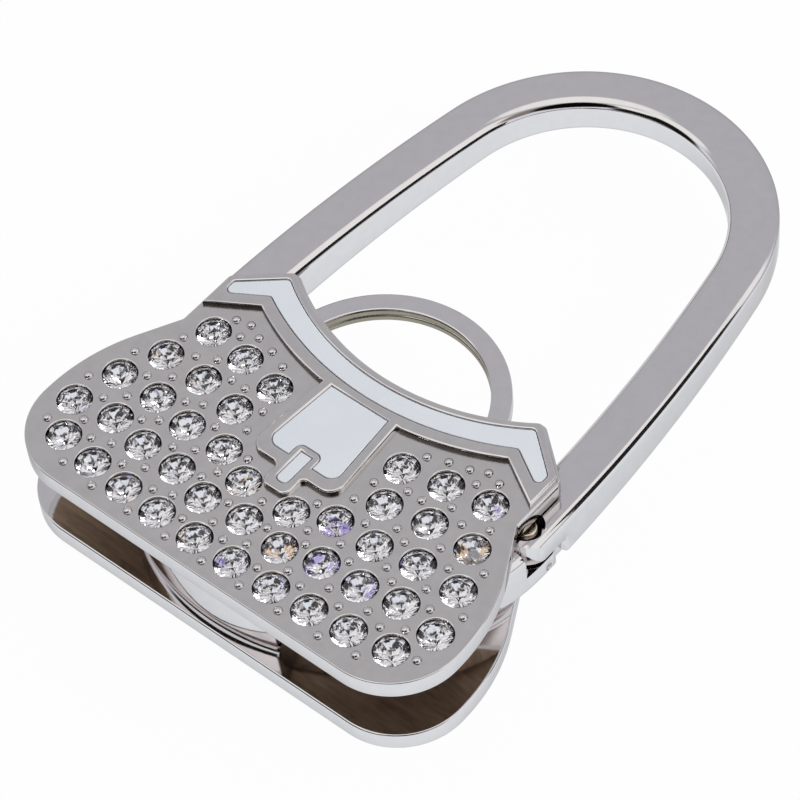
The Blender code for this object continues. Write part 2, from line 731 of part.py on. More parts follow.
def cut_lap(piece, name, upper, shoulder_y, outward):
    """Leave half the bar's thickness beyond a shoulder, with an end rounded about the pivot."""
    x, y = pivot_place()
    far = LOOP_LENGTH
    floor = LOOP_MIDDLE_Z - LAP_GAP / 2 if not upper else LOOP_BOTTOM_Z - CUT_OVERRUN
    roof = LOOP_MIDDLE_Z + LAP_GAP / 2 if upper else LOOP_TOP_Z + CUT_OVERRUN
    near, beyond = sorted((shoulder_y, shoulder_y + outward * far))
    half = box_mesh(f"{name}_half", (-SEAT_GAP, near, floor), (far, beyond, roof))
    combine(piece, add_cutter(f"{name}_half", half), "DIFFERENCE")
    near, beyond = sorted((y, y + outward * far))
    low, high = LOOP_BOTTOM_Z - CUT_OVERRUN, LOOP_TOP_Z + CUT_OVERRUN
    end = add_cutter(f"{name}_end", box_mesh(f"{name}_end", (-SEAT_GAP, near, low), (far, beyond, high)))
    height = high - low + CUT_OVERRUN * 2
    keep_mesh = cylinder_mesh(f"{name}_keep", LAP_END_RADIUS * 2, height, ROUND_SIDES * 2)
    keep = add_cutter(f"{name}_keep", keep_mesh, (x, y, low - CUT_OVERRUN))
    combine(end, keep, "DIFFERENCE")
    combine(piece, end, "DIFFERENCE")


def cut_catch(piece, name, outward, gap):
    """Cut the bar square across at the butt joint and sink a magnet's seat into its end."""
    (x, y), turn = catch_frame()
    far = LOOP_LENGTH
    low, high = LOOP_BOTTOM_Z - CUT_OVERRUN, LOOP_TOP_Z + CUT_OVERRUN
    inner = LOOP_CENTRE_RADIUS + LOOP_LENGTH * math.tan(CATCH_ANGLE)
    near, beyond = sorted((outward * gap, outward * far))
    tool = box_mesh(f"{name}_catch", (-far, near, low), (inner, beyond, high))
    combine(piece, add_cutter(f"{name}_catch", tool, (x, y, 0), turn), "DIFFERENCE")
    depth = MAGNET_LENGTH + STONE_GAP * 2
    seat = cylinder_mesh(f"{name}_magnet_seat", MAGNET_DIAMETER + STONE_GAP * 2, depth + CUT_OVERRUN)
    direction = -outward
    seat.transform(Matrix.Rotation(-direction * math.pi / 2, 4, "X"))
    start = Vector((0, outward * gap - direction * CUT_OVERRUN, 0))
    seat.transform(Matrix.Translation(start))
    combine(piece, add_cutter(f"{name}_magnet_seat", seat, (x, y, LOOP_MIDDLE_Z), turn), "DIFFERENCE")


def make_spacer_arc():
    """Lower arc of the loop, which spaces the shells; its tongue is the hinge's lower half."""
    arc = add_piece("spacer_arc", loop_mesh("spacer_arc"), zinc)
    x, y = pivot_place()
    cut_lap(arc, "tongue", upper=False, shoulder_y=y - LAP_REACH, outward=1)
    cut_catch(arc, "arc", outward=1, gap=-RUN_GAP / 2)
    for side, angle in RIVET_ANGLES.items():
        drill(arc, f"arc_rivet_hole_{side}", RIVET_DIAMETER + STONE_GAP * 2, LOOP_BOTTOM_Z - CUT_OVERRUN,
              LOOP_TOP_Z + CUT_OVERRUN, arc_place(angle))
    drill(arc, "tongue_pivot_hole", PIVOT_DIAMETER + STONE_GAP * 2, LOOP_BOTTOM_Z + PIVOT_SINK - STONE_GAP,
          LOOP_TOP_Z, (x, y))
    relief = plate_mesh("arc_relief", relief_corners(), LOOP_BOTTOM_Z - CUT_OVERRUN,
                        LOOP_TOP_Z + CUT_OVERRUN)
    combine(arc, add_cutter("arc_relief", relief), "DIFFERENCE")
    pin_hole = cylinder_mesh("cross_pin_hole", CROSS_PIN_DIAMETER + STONE_GAP * 2, CUT_OVERRUN * 2)
    pin_hole.transform(Matrix.Rotation(math.pi / 2, 4, "Y"))
    place = (x + PIVOT_DIAMETER / 2, y, cross_pin_height())
    combine(arc, add_cutter("cross_pin_hole", pin_hole, place), "DIFFERENCE")


def relief_corners():
    """Ring sector outside the arc's thinned stretch."""
    inner = LOOP_BOTTOM_RADIUS - RELIEF_DEPTH
    outer = LOOP_BOTTOM_RADIUS + CUT_OVERRUN
    steps = max(2, round((RELIEF_END_ANGLE - RELIEF_START_ANGLE) / ARC_STEP))
    angles = [RELIEF_START_ANGLE + (RELIEF_END_ANGLE - RELIEF_START_ANGLE) * step / steps
              for step in range(steps + 1)]
    inside = [(*arc_place(angle, inner), 0) for angle in reversed(angles)]
    return inside + [(*arc_place(angle, outer), 0) for angle in angles]


def cross_pin_height():
    """Middle of the tongue's thickness."""
    return (LOOP_BOTTOM_Z + LOOP_MIDDLE_Z - LAP_GAP / 2) / 2


def make_shackle(hinge):
    """Upper part of the loop, the bag's handle; its lap end turns over the tongue."""
    x, y = pivot_place()
    mesh = loop_mesh("shackle")
    mesh.transform(Matrix.Translation((-x, -y, 0)))
    shackle = add_piece("shackle", mesh, zinc, parent=hinge)
    cut_lap(shackle, "shackle", upper=True, shoulder_y=y + LAP_REACH, outward=-1)
    cut_catch(shackle, "shackle", outward=-1, gap=-RUN_GAP / 2)
    drill(shackle, "shackle_bore", PIVOT_BORE_DIAMETER, LOOP_BOTTOM_Z - CUT_OVERRUN,
          LOOP_TOP_Z + CUT_OVERRUN, (x, y))
    drill(shackle, "shackle_recess", PIVOT_RECESS_DIAMETER, LOOP_TOP_Z - PIVOT_RECESS_DEPTH,
          LOOP_TOP_Z + CUT_OVERRUN, (x, y))


def make_pivot_post():
    """Brass post fixed in the tongue, on which the shackle turns, and the pin that keeps it there."""
    x, y = pivot_place()
    bottom = LOOP_BOTTOM_Z + PIVOT_SINK
    length = LOOP_TOP_Z - SEAT_GAP - bottom
    post_mesh = cylinder_mesh("pivot_post", PIVOT_DIAMETER, length)
    post = add_piece("pivot_post", post_mesh, brass, (x, y, bottom))
    round_edges(post, STONE_GAP)
    pin_mesh = cylinder_mesh("cross_pin", CROSS_PIN_DIAMETER, CROSS_PIN_LENGTH, STONE_SIDES)
    pin_mesh.transform(Matrix.Rotation(math.pi / 2, 4, "Y"))
    start = x + PIVOT_DIAMETER / 2 + STONE_GAP * 2
    add_piece("cross_pin", pin_mesh, steel, (start, y, cross_pin_height()))


def make_magnets(hinge):
    """Pair of magnets that hold the shackle's free end against the arc."""
    (x, y), turn = catch_frame()
    along = Vector((-math.sin(turn), math.cos(turn)))
    for name, outward in (("catch_magnet", 1), ("shackle_magnet", -1)):
        mesh = cylinder_mesh(name, MAGNET_DIAMETER, MAGNET_LENGTH)
        mesh.transform(Matrix.Rotation(outward * math.pi / 2, 4, "X"))
        face = Vector((x, y)) - along * outward * (RUN_GAP / 2 + STONE_GAP)
        place = Vector((*face, LOOP_MIDDLE_Z))
        moving = outward < 0
        if moving:
            place -= hinge.location
        piece = add_piece(name, mesh, magnet, place, hinge if moving else None)
        piece.rotation_euler = (0, 0, turn)


def coil_height(angle):
    """Height of the wire's middle; the step between the turns takes up the open stretch."""
    share = (angle - 2 * math.pi + KEY_COIL_OPEN_ANGLE) / KEY_COIL_OPEN_ANGLE
    rise = min(1.0, max(0.0, share))
    return KEY_COIL_PITCH * (rise * rise * (3 - 2 * rise) - 1 / 2)


def key_coil_path():
    """Two flat turns of wire with a short step up between them."""
    radius = (KEY_RING_DIAMETER - KEY_WIRE_WIDTH) / 2
    sweep = 4 * math.pi - KEY_COIL_OPEN_ANGLE
    angles = [sweep * step / RING_STEPS for step in range(RING_STEPS + 1)]
    least = min(coil_height(angle + 2 * math.pi) - coil_height(angle) for angle in angles
                if angle + 2 * math.pi <= sweep)
    print("the key ring's turns clear each other by", round((least - KEY_WIRE_THICKNESS) / MM, 3), "mm")
    places = [angle + KEY_COIL_START_ANGLE for angle in angles]
    return [(radius * math.cos(place), radius * math.sin(place), coil_height(angle))
            for place, angle in zip(places, angles)]


def make_key_ring(swivel):
    """Split ring of flat wire that hangs round the post."""
    section = section_curve("wire_section", KEY_WIRE_WIDTH, KEY_WIRE_THICKNESS, KEY_WIRE_EDGE, steps=1)
    mesh = swept_mesh("key_ring", key_coil_path(), section, closed=False)
    mesh.transform(Matrix.Translation((0, KEY_RING_HANG, 0)))
    add_piece("key_ring", mesh, steel, parent=swivel)


def make_key_post():
    bottom = REAR_TOP_Z - POST_BITE
    length = FRONT_BOTTOM_Z + POST_BITE - bottom
    mesh = cylinder_mesh("key_ring_post", POST_DIAMETER, length)
    add_piece("key_ring_post", mesh, steel, (0, POST_Y, bottom))


def main():
    clear_scene()
    new_collection(PARTS)
    new_collection(CUTTERS)
    hinge = add_pivot_empty("shackle_hinge", (*pivot_place(), 0))
    swivel = add_pivot_empty("key_ring_swivel", (0, POST_Y, LOOP_MIDDLE_Z), KEY_RING_LEAN)
    make_front_plate()
    make_enamel()
    make_crystals()
    make_back_plate()
    make_grip_pad()
    make_rivets()
    make_spacer_arc()
    make_shackle(hinge)
    make_pivot_post()
    make_magnets(hinge)
    make_key_post()
    make_key_ring(swivel)


main()
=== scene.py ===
"""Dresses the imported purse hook: nickel-plated shells and loop, cut stones, enamel and the studio."""

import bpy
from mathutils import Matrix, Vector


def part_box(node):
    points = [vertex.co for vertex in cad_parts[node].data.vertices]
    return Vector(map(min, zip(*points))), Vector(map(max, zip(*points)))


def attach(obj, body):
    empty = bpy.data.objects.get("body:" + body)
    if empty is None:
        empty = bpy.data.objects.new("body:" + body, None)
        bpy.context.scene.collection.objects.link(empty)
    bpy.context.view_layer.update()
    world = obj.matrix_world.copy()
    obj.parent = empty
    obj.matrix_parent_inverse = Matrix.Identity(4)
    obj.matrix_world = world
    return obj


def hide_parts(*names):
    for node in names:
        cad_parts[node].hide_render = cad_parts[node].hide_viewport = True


bl_info = {
    "name": "Jewelled purse hook",
    "version": (1, 0, 0),
    "blender": (4, 5, 0),
    "location": "3D View > Sidebar > Purse Hook",
    "description": "Builds the jewelled purse hook round its packed frame",
    "category": "Add Mesh",
}

import math

import bmesh
import bpy
from bpy.props import FloatProperty, FloatVectorProperty, IntProperty, PointerProperty
from bpy.types import Operator, Panel, PropertyGroup
from mathutils import Matrix, Vector

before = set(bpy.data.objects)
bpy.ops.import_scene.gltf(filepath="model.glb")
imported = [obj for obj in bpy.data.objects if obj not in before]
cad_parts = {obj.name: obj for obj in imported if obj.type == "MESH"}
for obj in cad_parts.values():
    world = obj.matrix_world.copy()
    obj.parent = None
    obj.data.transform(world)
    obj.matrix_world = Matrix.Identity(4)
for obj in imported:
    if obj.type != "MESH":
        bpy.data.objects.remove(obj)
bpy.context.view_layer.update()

MM = 0.001
DEG = math.pi / 180

# Points closer than this are one, and a face whose normal is this upright is level
MERGE_DISTANCE = 0.002 * MM
LEVEL_COSINE = 0.9999

# Bends of an outline: one arc step, too slight to round, sharp enough to be a corner
ARC_STEP = 3 * DEG
SLIGHT_BEND = 2 * DEG
CORNER_BEND = 12 * DEG

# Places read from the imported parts
FRONT_LOW, FRONT_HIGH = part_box("front_plate")
REAR_LOW, REAR_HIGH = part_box("back_plate")
FLAP_LOW, FLAP_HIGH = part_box("enamel_flap")
STRAP_LOW, STRAP_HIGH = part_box("enamel_tab")
PAD_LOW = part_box("grip_pad")[0]
SHACKLE_LOW, SHACKLE_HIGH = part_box("shackle")
RING_LOW, RING_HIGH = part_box("key_ring")
POST_LOW, POST_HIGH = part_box("pivot_post")
PIN_LOW, PIN_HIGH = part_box("cross_pin")
STONES = [f"crystal_{number:02d}" for number in range(1, 44)]
STONE_LOW, STONE_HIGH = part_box(STONES[0])
STONE_RADIUS = (STONE_HIGH.x - STONE_LOW.x) / 2

# Bag outline, as in the frame
HALF_WIDTH = FRONT_HIGH.x
BODY_BOTTOM = FRONT_LOW.y
BODY_TOP = -BODY_BOTTOM
BODY_CORNER_RADIUS = 6.8 * MM
WAIST_INSET = 4.4 * MM
WAIST_HALF = HALF_WIDTH - WAIST_INSET
WAIST_SHARE, SHOULDER_SHARE, SHOULDER_REACH_SHARE = 0.348, -0.196, 0.92
WAIST_Y = BODY_TOP * WAIST_SHARE
SHOULDER_Y = BODY_TOP * SHOULDER_SHARE
SHOULDER_REACH = (SHOULDER_Y - BODY_BOTTOM - BODY_CORNER_RADIUS) * SHOULDER_REACH_SHARE
TOP_CORNER_INSET = 4.8 * MM
TOP_CORNER_X = WAIST_HALF - TOP_CORNER_INSET
TOP_CORNER_DROP = 3.7 * MM
TOP_CORNER_RADIUS = 0.9 * MM
TOP_DIP_DROP = 4.15 * MM
TOP_DIP_Y = BODY_TOP - TOP_DIP_DROP
TOP_ARC_RISE = 4.4 * MM
SHELL_THICKNESS = 1.9 * MM
FIELD_Z = FRONT_LOW.z + SHELL_THICKNESS
RAISED_Z = FRONT_HIGH.z

# Band, flap and strap
RAISE_INSET = 0.25 * MM
RIM = 1.05 * MM
BAND_DEPTH = 4.35 * MM
BAND_DIP_Y = TOP_DIP_Y - BAND_DEPTH
BAND_ARC_RISE = 3.4 * MM
BAND_END_RISE = 0.55 * MM
BAND_INLAY_RISE = 0.5 * MM
FLAP_TOP_HALF = 4.45 * MM
FLAP_HALF = 5.1 * MM
FLAP_TOP_RISE = 0.36 * MM
FLAP_BOTTOM_Y = -2.36 * MM
FLAP_CORNER_RADIUS = 1.7 * MM
FLAP_INLAY_RADIUS = 1.0 * MM
NOTCH_HALF = 1.35 * MM
NOTCH_RISE = 1.5 * MM
NOTCH_RADIUS = 0.7 * MM
STRAP_HALF = 1.65 * MM
STRAP_BOTTOM_Y = -4.73 * MM
STRAP_CORNER_RADIUS = 1.0 * MM
STRAP_ROOT_RADIUS = 0.3 * MM
STRAP_INLAY_RADIUS = 0.45 * MM
INLAY_CORNER_RADIUS = 0.45 * MM
FLAP_INLAY_FLARE = 0.05 * MM
RECESS_GAP = 0.05 * MM
BAND_SINK = 0.3 * MM

# Enamel, seats under the stones and rubber pad
ENAMEL_SINK = 0.2 * MM
ENAMEL_EDGE = 0.05 * MM
SEAT_GAP = 0.05 * MM
SEAT_DEPTH = 1.6 * MM
SEAT_FLOOR_OVERLAP = 0.005 * MM
PAD_INSET = 1.7 * MM
PAD_EDGE = 0.2 * MM
PAD_OVERLAP = 0.05 * MM

# Loop, as in the frame
BAR_WIDTH = 4.6 * MM
BAR_HALF = BAR_WIDTH / 2
BAR_SIDE_INSET = 2.6 * MM
BAR_LOWER_INSET = 0.65 * MM
LOOP_NARROWING = 2.7 * MM
BOTTOM_RADIUS = HALF_WIDTH - BAR_SIDE_INSET - BAR_HALF
TOP_RADIUS = BOTTOM_RADIUS - LOOP_NARROWING
BOTTOM_CENTRE = Vector((0, BODY_BOTTOM + BAR_LOWER_INSET + BOTTOM_RADIUS + BAR_HALF, 0))
TOP_CENTRE = Vector((0, SHACKLE_HIGH.y - TOP_RADIUS - BAR_HALF, 0))
LOOP_Z = (SHACKLE_LOW.z + SHACKLE_HIGH.z) / 2
LOOP_HEIGHT = SHACKLE_HIGH.z - SHACKLE_LOW.z
TIP_HEIGHT = 3.6 * MM
CATCH_ANGLE = 10 * DEG
HALF_GAP = 0.2 * MM
LAP_HALF_GAP = 0.15 * MM
LAP_REACH = 2.75 * MM
LAP_RADIUS = 2.35 * MM
LAP_OVERRUN = 0.4 * MM
LAP_OVERRUN_ANGLE = 8 * DEG
BORE_RADIUS = 1.3 * MM
SINK_RADIUS = 1.65 * MM
SINK_DEPTH = 0.9 * MM
MAGNET_SEAT_RADIUS = 1.4 * MM
MAGNET_SEAT_DEPTH = 2.2 * MM
RELIEF_START = -70 * DEG
RELIEF_END = -27 * DEG
RELIEF_DEPTH = 2.2 * MM
PIVOT = (POST_LOW + POST_HIGH) / 2
POST_EDGE = 0.18 * MM
PIN_SEAT_RADIUS = 0.38 * MM

# How far the cutting shapes reach past what they cut
CUT_OVERRUN = 1 * MM
LAP_CUT_REACH = 60 * MM
LAP_CUT_HALF_HEIGHT = 6 * MM
RELIEF_CUT_HALF_HEIGHT = 4 * MM

# Key ring, as in the frame
RING_CENTRE = (RING_LOW + RING_HIGH) / 2
RING_RADIUS = 10.75 * MM
WIRE_EDGE = 0.2 * MM
WIRE_WIDTH = 1.9 * MM
WIRE_THICKNESS = 0.76 * MM
WIRE_STEP_ANGLE = 30 * DEG
WIRE_END_TURN = -22 * DEG

# Beads, as shares of half the body's width and of its height above the lower edge
BEAD_PAIR_SHARES = (
    (0.579, 0.771), (0.642, 0.760), (0.514, 0.748), (0.431, 0.733), (0.575, 0.719), (0.352, 0.709),
    (0.747, 0.616), (0.571, 0.614), (0.648, 0.585), (0.397, 0.582), (0.463, 0.581), (0.271, 0.548),
    (0.850, 0.491), (0.653, 0.486), (0.261, 0.470), (0.472, 0.464), (0.734, 0.444), (0.533, 0.440),
    (0.366, 0.423), (0.169, 0.393), (0.728, 0.353), (0.553, 0.343), (0.911, 0.341), (0.354, 0.326),
    (0.609, 0.314), (0.794, 0.306), (0.219, 0.305), (0.429, 0.294), (0.253, 0.265), (0.094, 0.242),
    (0.782, 0.212), (0.623, 0.197), (0.447, 0.191), (0.702, 0.176), (0.281, 0.166), (0.082, 0.165),
    (0.526, 0.160), (0.898, 0.153), (0.358, 0.147), (0.182, 0.121), (0.711, 0.064), (0.550, 0.050),
    (0.366, 0.046), (0.180, 0.045),
)
BEAD_MIDDLE_SHARES = ((0, 0.304), (0, 0.135), (0, 0.044))

# Rings of corners of one stone: how many, radius and height as shares of the stone's radius, turn
STONE_RING_SHARES = (
    (8, 0.58, 0.36, 0.5),
    (8, 0.82, 0.20, 0.0),
    (16, 1.00, 0.03, 0.0),
    (16, 1.00, -0.03, 0.0),
    (8, 0.55, -0.44, 0.5),
)
STONE_POINT_SHARE = -0.89
STONE_SINK = 0.22 * MM

# Each stone is turned on from the one before, and tilted a little by a wave along the row
STONE_TURN_STEP = 137.5 * DEG
STONE_TILT = 2.0 * DEG
STONE_WAVE_STEP = 2.4

# Camera, worked out from the mirror pairs of stones
CAMERA_TURN = 44.904 * DEG
CAMERA_RISE = 51.742 * DEG
CAMERA_ROLL = -6.24 * DEG
CAMERA_DISTANCE = 330.4 * MM
CAMERA_TARGET = Vector((2.31 * MM, 9.55 * MM, 10.6 * MM))
CAMERA_LENS = 173.5
CAMERA_SENSOR = 36
CAMERA_CLIP_START = 10 * MM

# Pattern sizes, drawn coarser than the real grain so that they show
NICKEL_CLOUD = 1.1 * MM
POLISHED_GRAIN = 0.55 * MM
CAST_GRAIN = 0.16 * MM
PLATE_RELIEF = 0.02 * MM
STREAK_WIDTH = 0.25 * MM
STREAK_LENGTH = 2.5 * MM
STREAK_TURN = 32 * DEG
ENAMEL_CLOUD = 4.5 * MM
ENAMEL_RIPPLE = 1.6 * MM
ENAMEL_RELIEF = 0.05 * MM
FIRE_PATCH = 1.3 * MM
RUBBER_PEBBLE = 0.5 * MM
PEBBLE_RELIEF = 0.08 * MM
TOOL_MARK = 0.3 * MM

# Cards round the studio, the later over the earlier: direction, reach of the soft edge and of the
# full tone in degrees, tone
STUDIO_CARDS = (
    ((-0.64, 0.64, 0.35), 74, 62, "#BFC0C5"),
    ((0.00, 0.00, 1.00), 26, 18, "#FFFFFF"),
    ((-0.46, -0.40, 0.79), 20, 13, "#FFFFFF"),
    ((-0.25, -0.92, 0.26), 36, 27, "#1A1614"),
    ((-0.05, -0.62, 0.78), 14, 9, "#FFFFFF"),
    ((0.735, 0.44, 0.52), 32, 24, "#FFFFFF"),
    ((0.70, -0.15, 0.70), 20, 13, "#8E8682"),
    ((0.50, -0.56, 0.67), 27, 21, "#0A0807"),
)

# Tones of the room behind the cards: height of the direction, tone
ROOM_TONES = (
    (0.00, "#DDE1E8"),
    (0.12, "#E2E6EE"),
    (0.62, "#F4F5F8"),
    (0.72, "#BFC0C2"),
    (0.86, "#BFC0C2"),
)
HORIZON_SIDE = (0.7, -0.7, 0)
HORIZON_FADE = 0.2
HORIZON_TOP, HORIZON_FULL = 0.07, 0.03

# Lamps: name, direction, distance, width, watts
LAMPS = (
    ("side_softbox", (0.84, 0.28, 0.46), 600 * MM, 220 * MM, 1.6),
    ("back_softbox", (-0.55, 0.75, 0.62), 900 * MM, 300 * MM, 1.2),
)

# Floor, its reflection's fall from white to the far wall's grey, and the black flag's corners
FLOOR_HALF = 4000 * MM
FLOOR_DROP = 0.02 * MM
FLOOR_GLOW_SHARE = 0.97
FLOOR_FADE = 9 * MM
FLAG_LOW = (72 * MM, 40 * MM, 3 * MM)
FLAG_HIGH = (73 * MM, 90 * MM, 50 * MM)

# Material slots of the front shell, the last being painted shadow, and how the walls that take it are told
# from the rest: how far past a seat's radius, how much towards the bag's lower edge, how little upwards
SATIN, POLISHED, CASTING, PAINTED_SHADOW = range(4)
SEAT_WALL_SHARE = 1.01
STEP_FACING = 0.4
STEP_RISE = 0.5


def length_property(name, value, description):
    return FloatProperty(name=name, description=description, default=value * MM, unit="LENGTH")


class HookSizes(PropertyGroup):
    """Small sizes of the finish that the frame leaves open."""

    shell_edge: length_property("Shell edge", 0.20, "Rounding of the shells' edges")
    band_edge: length_property("Band edge", 0.20, "Rounding of the band's edges")
    seat_edge: length_property("Seat edge", 0.13, "Rounding of the seats' rims")
    bar_edge: length_property("Bar edge", 1.00, "Rounding of the loop's outer edges")
    inner_edge: length_property("Inner edge", 1.30, "Rounding of the loop's inner edges")
    cut_edge: length_property("Cut edge", 0.10, "Rounding where the loop's ends are cut")
    bead_diameter: length_property("Bead diameter", 0.86, "Width of one metal bead")
    bead_height: length_property("Bead height", 0.36, "How far a bead stands up")
    coil_gap: length_property("Coil gap", 0.02, "Gap between the key ring's turns")
    arc_steps: IntProperty(name="Arc steps", description="Steps of a half circle", default=64, min=16)


def linear(code):
    """Linear colour of an sRGB hex code."""
    values = [int(code[start:start + 2], 16) / 255 for start in (1, 3, 5)]
    return tuple(v / 12.92 if v <= 0.04045 else ((v + 0.055) / 1.055) ** 2.4 for v in values)


def colour_property(name, code, description):
    return FloatVectorProperty(name=name, description=description, default=linear(code), size=3,
                               min=0, max=1, subtype="COLOR")


class HookColours(PropertyGroup):
    """Base colours of the finishes, as linear values of their hex codes."""

    nickel: colour_property("Nickel", "#E8E4E4", "Polished nickel plate of the loop")
    nickel_shade: colour_property("Nickel shade", "#DCD8D8", "Duller patches of the plate")
    field: colour_property("Field", "#E2DEDB", "Nickel of the stone field")
    field_shade: colour_property("Field shade", "#D2CECB", "Duller patches of the field")
    # Painted shadow: dark plate colours standing in for the shade on the seats' walls and the band's steps
    painted_shadow: colour_property("Shadowed", "#7A746E", "Darkened plate in the corners")
    painted_shadow_shade: colour_property("Tarnish shade", "#3E3936", "Darkest patches in the corners")
    # Darker, yellowish plate on the key ring's inner faces
    lining: colour_property("Lining plate", "#ABA391", "Lining plate inside the key ring")
    lining_shade: colour_property("Lining shade", "#8D8573", "Most worn patches inside the ring")
    casting: colour_property("Casting", "#C9AE92", "Raw underside of the front shell")
    casting_shade: colour_property("Casting shade", "#5B4636", "Streaks on that underside")
    enamel: colour_property("Enamel", "#E9EDF1", "Cool white enamel")
    enamel_cloud: colour_property("Enamel cloud", "#DEE3E9", "Bluer clouds in the enamel")
    foil: colour_property("Foil", "#F4F3F5", "Mirror foil behind the stones")
    rubber: colour_property("Rubber", "#1B1C1F", "Non-slip pad")
    brass: colour_property("Brass", "#F0E4CF", "Pale brass post")
    steel: colour_property("Steel", "#B4B2B0", "Pins, posts and rivets")
    magnet: colour_property("Magnet", "#9A9CA0", "Nickel-plated magnets")


def solid(colour):
    return (*colour, 1.0)


def node(tree, kind, settings=None, **inputs):
    """Add one shader node with its settings, and feed its inputs."""
    made = tree.nodes.new(kind)
    for name, value in (settings or {}).items():
        setattr(made, name, value)
    feed(tree, made, **inputs)
    return made


def feed(tree, made, **inputs):
    """Feed inputs with values or other nodes' outputs; the name _6 means the input at place 6."""
    for name, value in inputs.items():
        socket = made.inputs[int(name[1:]) if name[0] == "_" else name.replace("_", " ")]
        if isinstance(value, bpy.types.NodeSocket):
            tree.links.new(value, socket)
        else:
            socket.default_value = solid(value) if socket.type == "RGBA" else value


def noise(tree, size, detail):
    """Noise of a pattern size, fixed to the piece."""
    place = node(tree, "ShaderNodeTexCoord").outputs["Object"]
    return node(tree, "ShaderNodeTexNoise", Vector=place, Scale=1 / size, Detail=detail).outputs["Fac"]


def blend(tree, factor, low, high):
    """Colour between two."""
    return node(tree, "ShaderNodeMix", {"data_type": "RGBA"}, Factor=factor, _6=low, _7=high).outputs[2]


def spread(tree, value, low, high):
    """A value from 0 to 1 spread between two others."""
    return node(tree, "ShaderNodeMapRange", Value=value, To_Min=low, To_Max=high).outputs[0]


def rise(tree, value, start, end, kind="LINEAR"):
    """From 0 to 1 as a value goes from start to end."""
    return node(tree, "ShaderNodeMapRange", {"interpolation_type": kind}, Value=value, From_Min=start,
                From_Max=end).outputs[0]


def bumped(tree, strength, depth, height):
    """Normal of a surface with a relief."""
    return node(tree, "ShaderNodeBump", Strength=strength, Distance=depth, Height=height).outputs[0]


def maths(tree, operation, first, second):
    """Outcome of a sum on two values."""
    return node(tree, "ShaderNodeMath", {"operation": operation}, _0=first, _1=second).outputs[0]


def facing(tree, place, direction):
    """How far a place lies towards a direction."""
    return node(tree, "ShaderNodeVectorMath", {"operation": "DOT_PRODUCT"}, _0=place,
                _1=direction).outputs["Value"]


def fill_ramp(ramp, tones):
    """Set a colour ramp's stops from pairs of place and linear colour."""
    stops = ramp.color_ramp.elements
    for stop, (place, tone) in zip(stops, tones):
        stop.position = place
        stop.color = solid(tone)
    for place, tone in tones[2:]:
        stops.new(place).color = solid(tone)


def new_material(name):
    material = bpy.data.materials.new(name)
    material.use_nodes = True
    return material, material.node_tree, material.node_tree.nodes["Principled BSDF"]


def nickel_material(name, colour, roughness, grain, waves):
    """Bright nickel plate on cast zinc: polished, with faint clouds, fine grain and soft waves."""
    colours = bpy.context.scene.hook_colours
    material, tree, shader = new_material(name)
    clouds = noise(tree, NICKEL_CLOUD, 5.0)
    fine = noise(tree, grain, 4.0)
    feed(tree, shader, Metallic=1.0, Specular_Tint=linear("#D8D4D4"),
         Base_Color=blend(tree, clouds, getattr(colours, f"{colour}_shade"), getattr(colours, colour)),
         Roughness=spread(tree, fine, roughness * 0.75, roughness * 1.35),
         Normal=bumped(tree, waves, PLATE_RELIEF, fine))
    return material


def polished_nickel():
    """Mirror-bright nickel plate: it takes the room's reflections almost sharply."""
    return nickel_material("polished_nickel_plate", "nickel", 0.07, POLISHED_GRAIN, 0.10)


def satin_nickel():
    """Nickel plate of the stone field, duller and finely pitted from the casting."""
    return nickel_material("cast_nickel_plate", "field", 0.20, CAST_GRAIN, 0.35)


def shadow_painted_nickel():
    """Painted shadow: darkened plate in the corners, standing in for the shade on the seats' walls and the
    band's steps.
    """
    return nickel_material("tarnished_nickel_plate", "painted_shadow", 0.25, CAST_GRAIN, 0.35)


def worn_plate():
    """Darker, yellowish plate on the key ring's inner faces."""
    return nickel_material("worn_plate", "lining", 0.22, POLISHED_GRAIN, 0.2)


def raw_casting():
    """Rough brownish underside of the front shell, dull and streaked from the casting."""
    colours = bpy.context.scene.hook_colours
    material, tree, shader = new_material("raw_casting")
    place = node(tree, "ShaderNodeTexCoord").outputs["Object"]
    streaks = node(tree, "ShaderNodeMapping", Vector=place, Rotation=(0, 0, STREAK_TURN),
                   Scale=(1 / STREAK_LENGTH, 1 / STREAK_WIDTH, 1 / STREAK_LENGTH))
    grain = node(tree, "ShaderNodeTexNoise", Vector=streaks.outputs["Vector"], Scale=1.0, Detail=3.0)
    tone = blend(tree, grain.outputs["Fac"], colours.casting_shade, colours.casting)
    feed(tree, shader, Base_Color=tone, Metallic=0.7, Roughness=0.5)
    return material


def enamel_material():
    """Cool white stoved enamel: a glossy skin over a faintly clouded body."""
    colours = bpy.context.scene.hook_colours
    material, tree, shader = new_material("stoved_enamel")
    tone = blend(tree, noise(tree, ENAMEL_CLOUD, 2.0), colours.enamel_cloud, colours.enamel)
    feed(tree, shader, Base_Color=tone, Roughness=0.22, Coat_Weight=0.6, Coat_Roughness=0.06,
         Normal=bumped(tree, 0.08, ENAMEL_RELIEF, noise(tree, ENAMEL_RIPPLE, 1.0)))
    return material


def stone_glass():
    """Machine-cut lead crystal: clear, sharp and strongly bending."""
    material, tree, shader = new_material("cut_crystal_glass")
    feed(tree, shader, Base_Color=linear("#FFFFFF"), Transmission_Weight=1.0, Roughness=0.0, IOR=1.56)
    return material


def stone_foil():
    """Mirror foil on the stone's back: bright, with weak violet and amber fire."""
    foil = bpy.context.scene.hook_colours.foil
    material, tree, shader = new_material("stone_mirror_foil")
    ramp = node(tree, "ShaderNodeValToRGB", Fac=noise(tree, FIRE_PATCH, 0.0))
    violet, amber = linear("#C4B8EA"), linear("#EFCFAE")
    fill_ramp(ramp, ((0.19, violet), (0.24, foil), (0.76, foil), (0.82, amber)))
    feed(tree, shader, Base_Color=ramp.outputs["Color"], Metallic=1.0, Roughness=0.02)
    return material


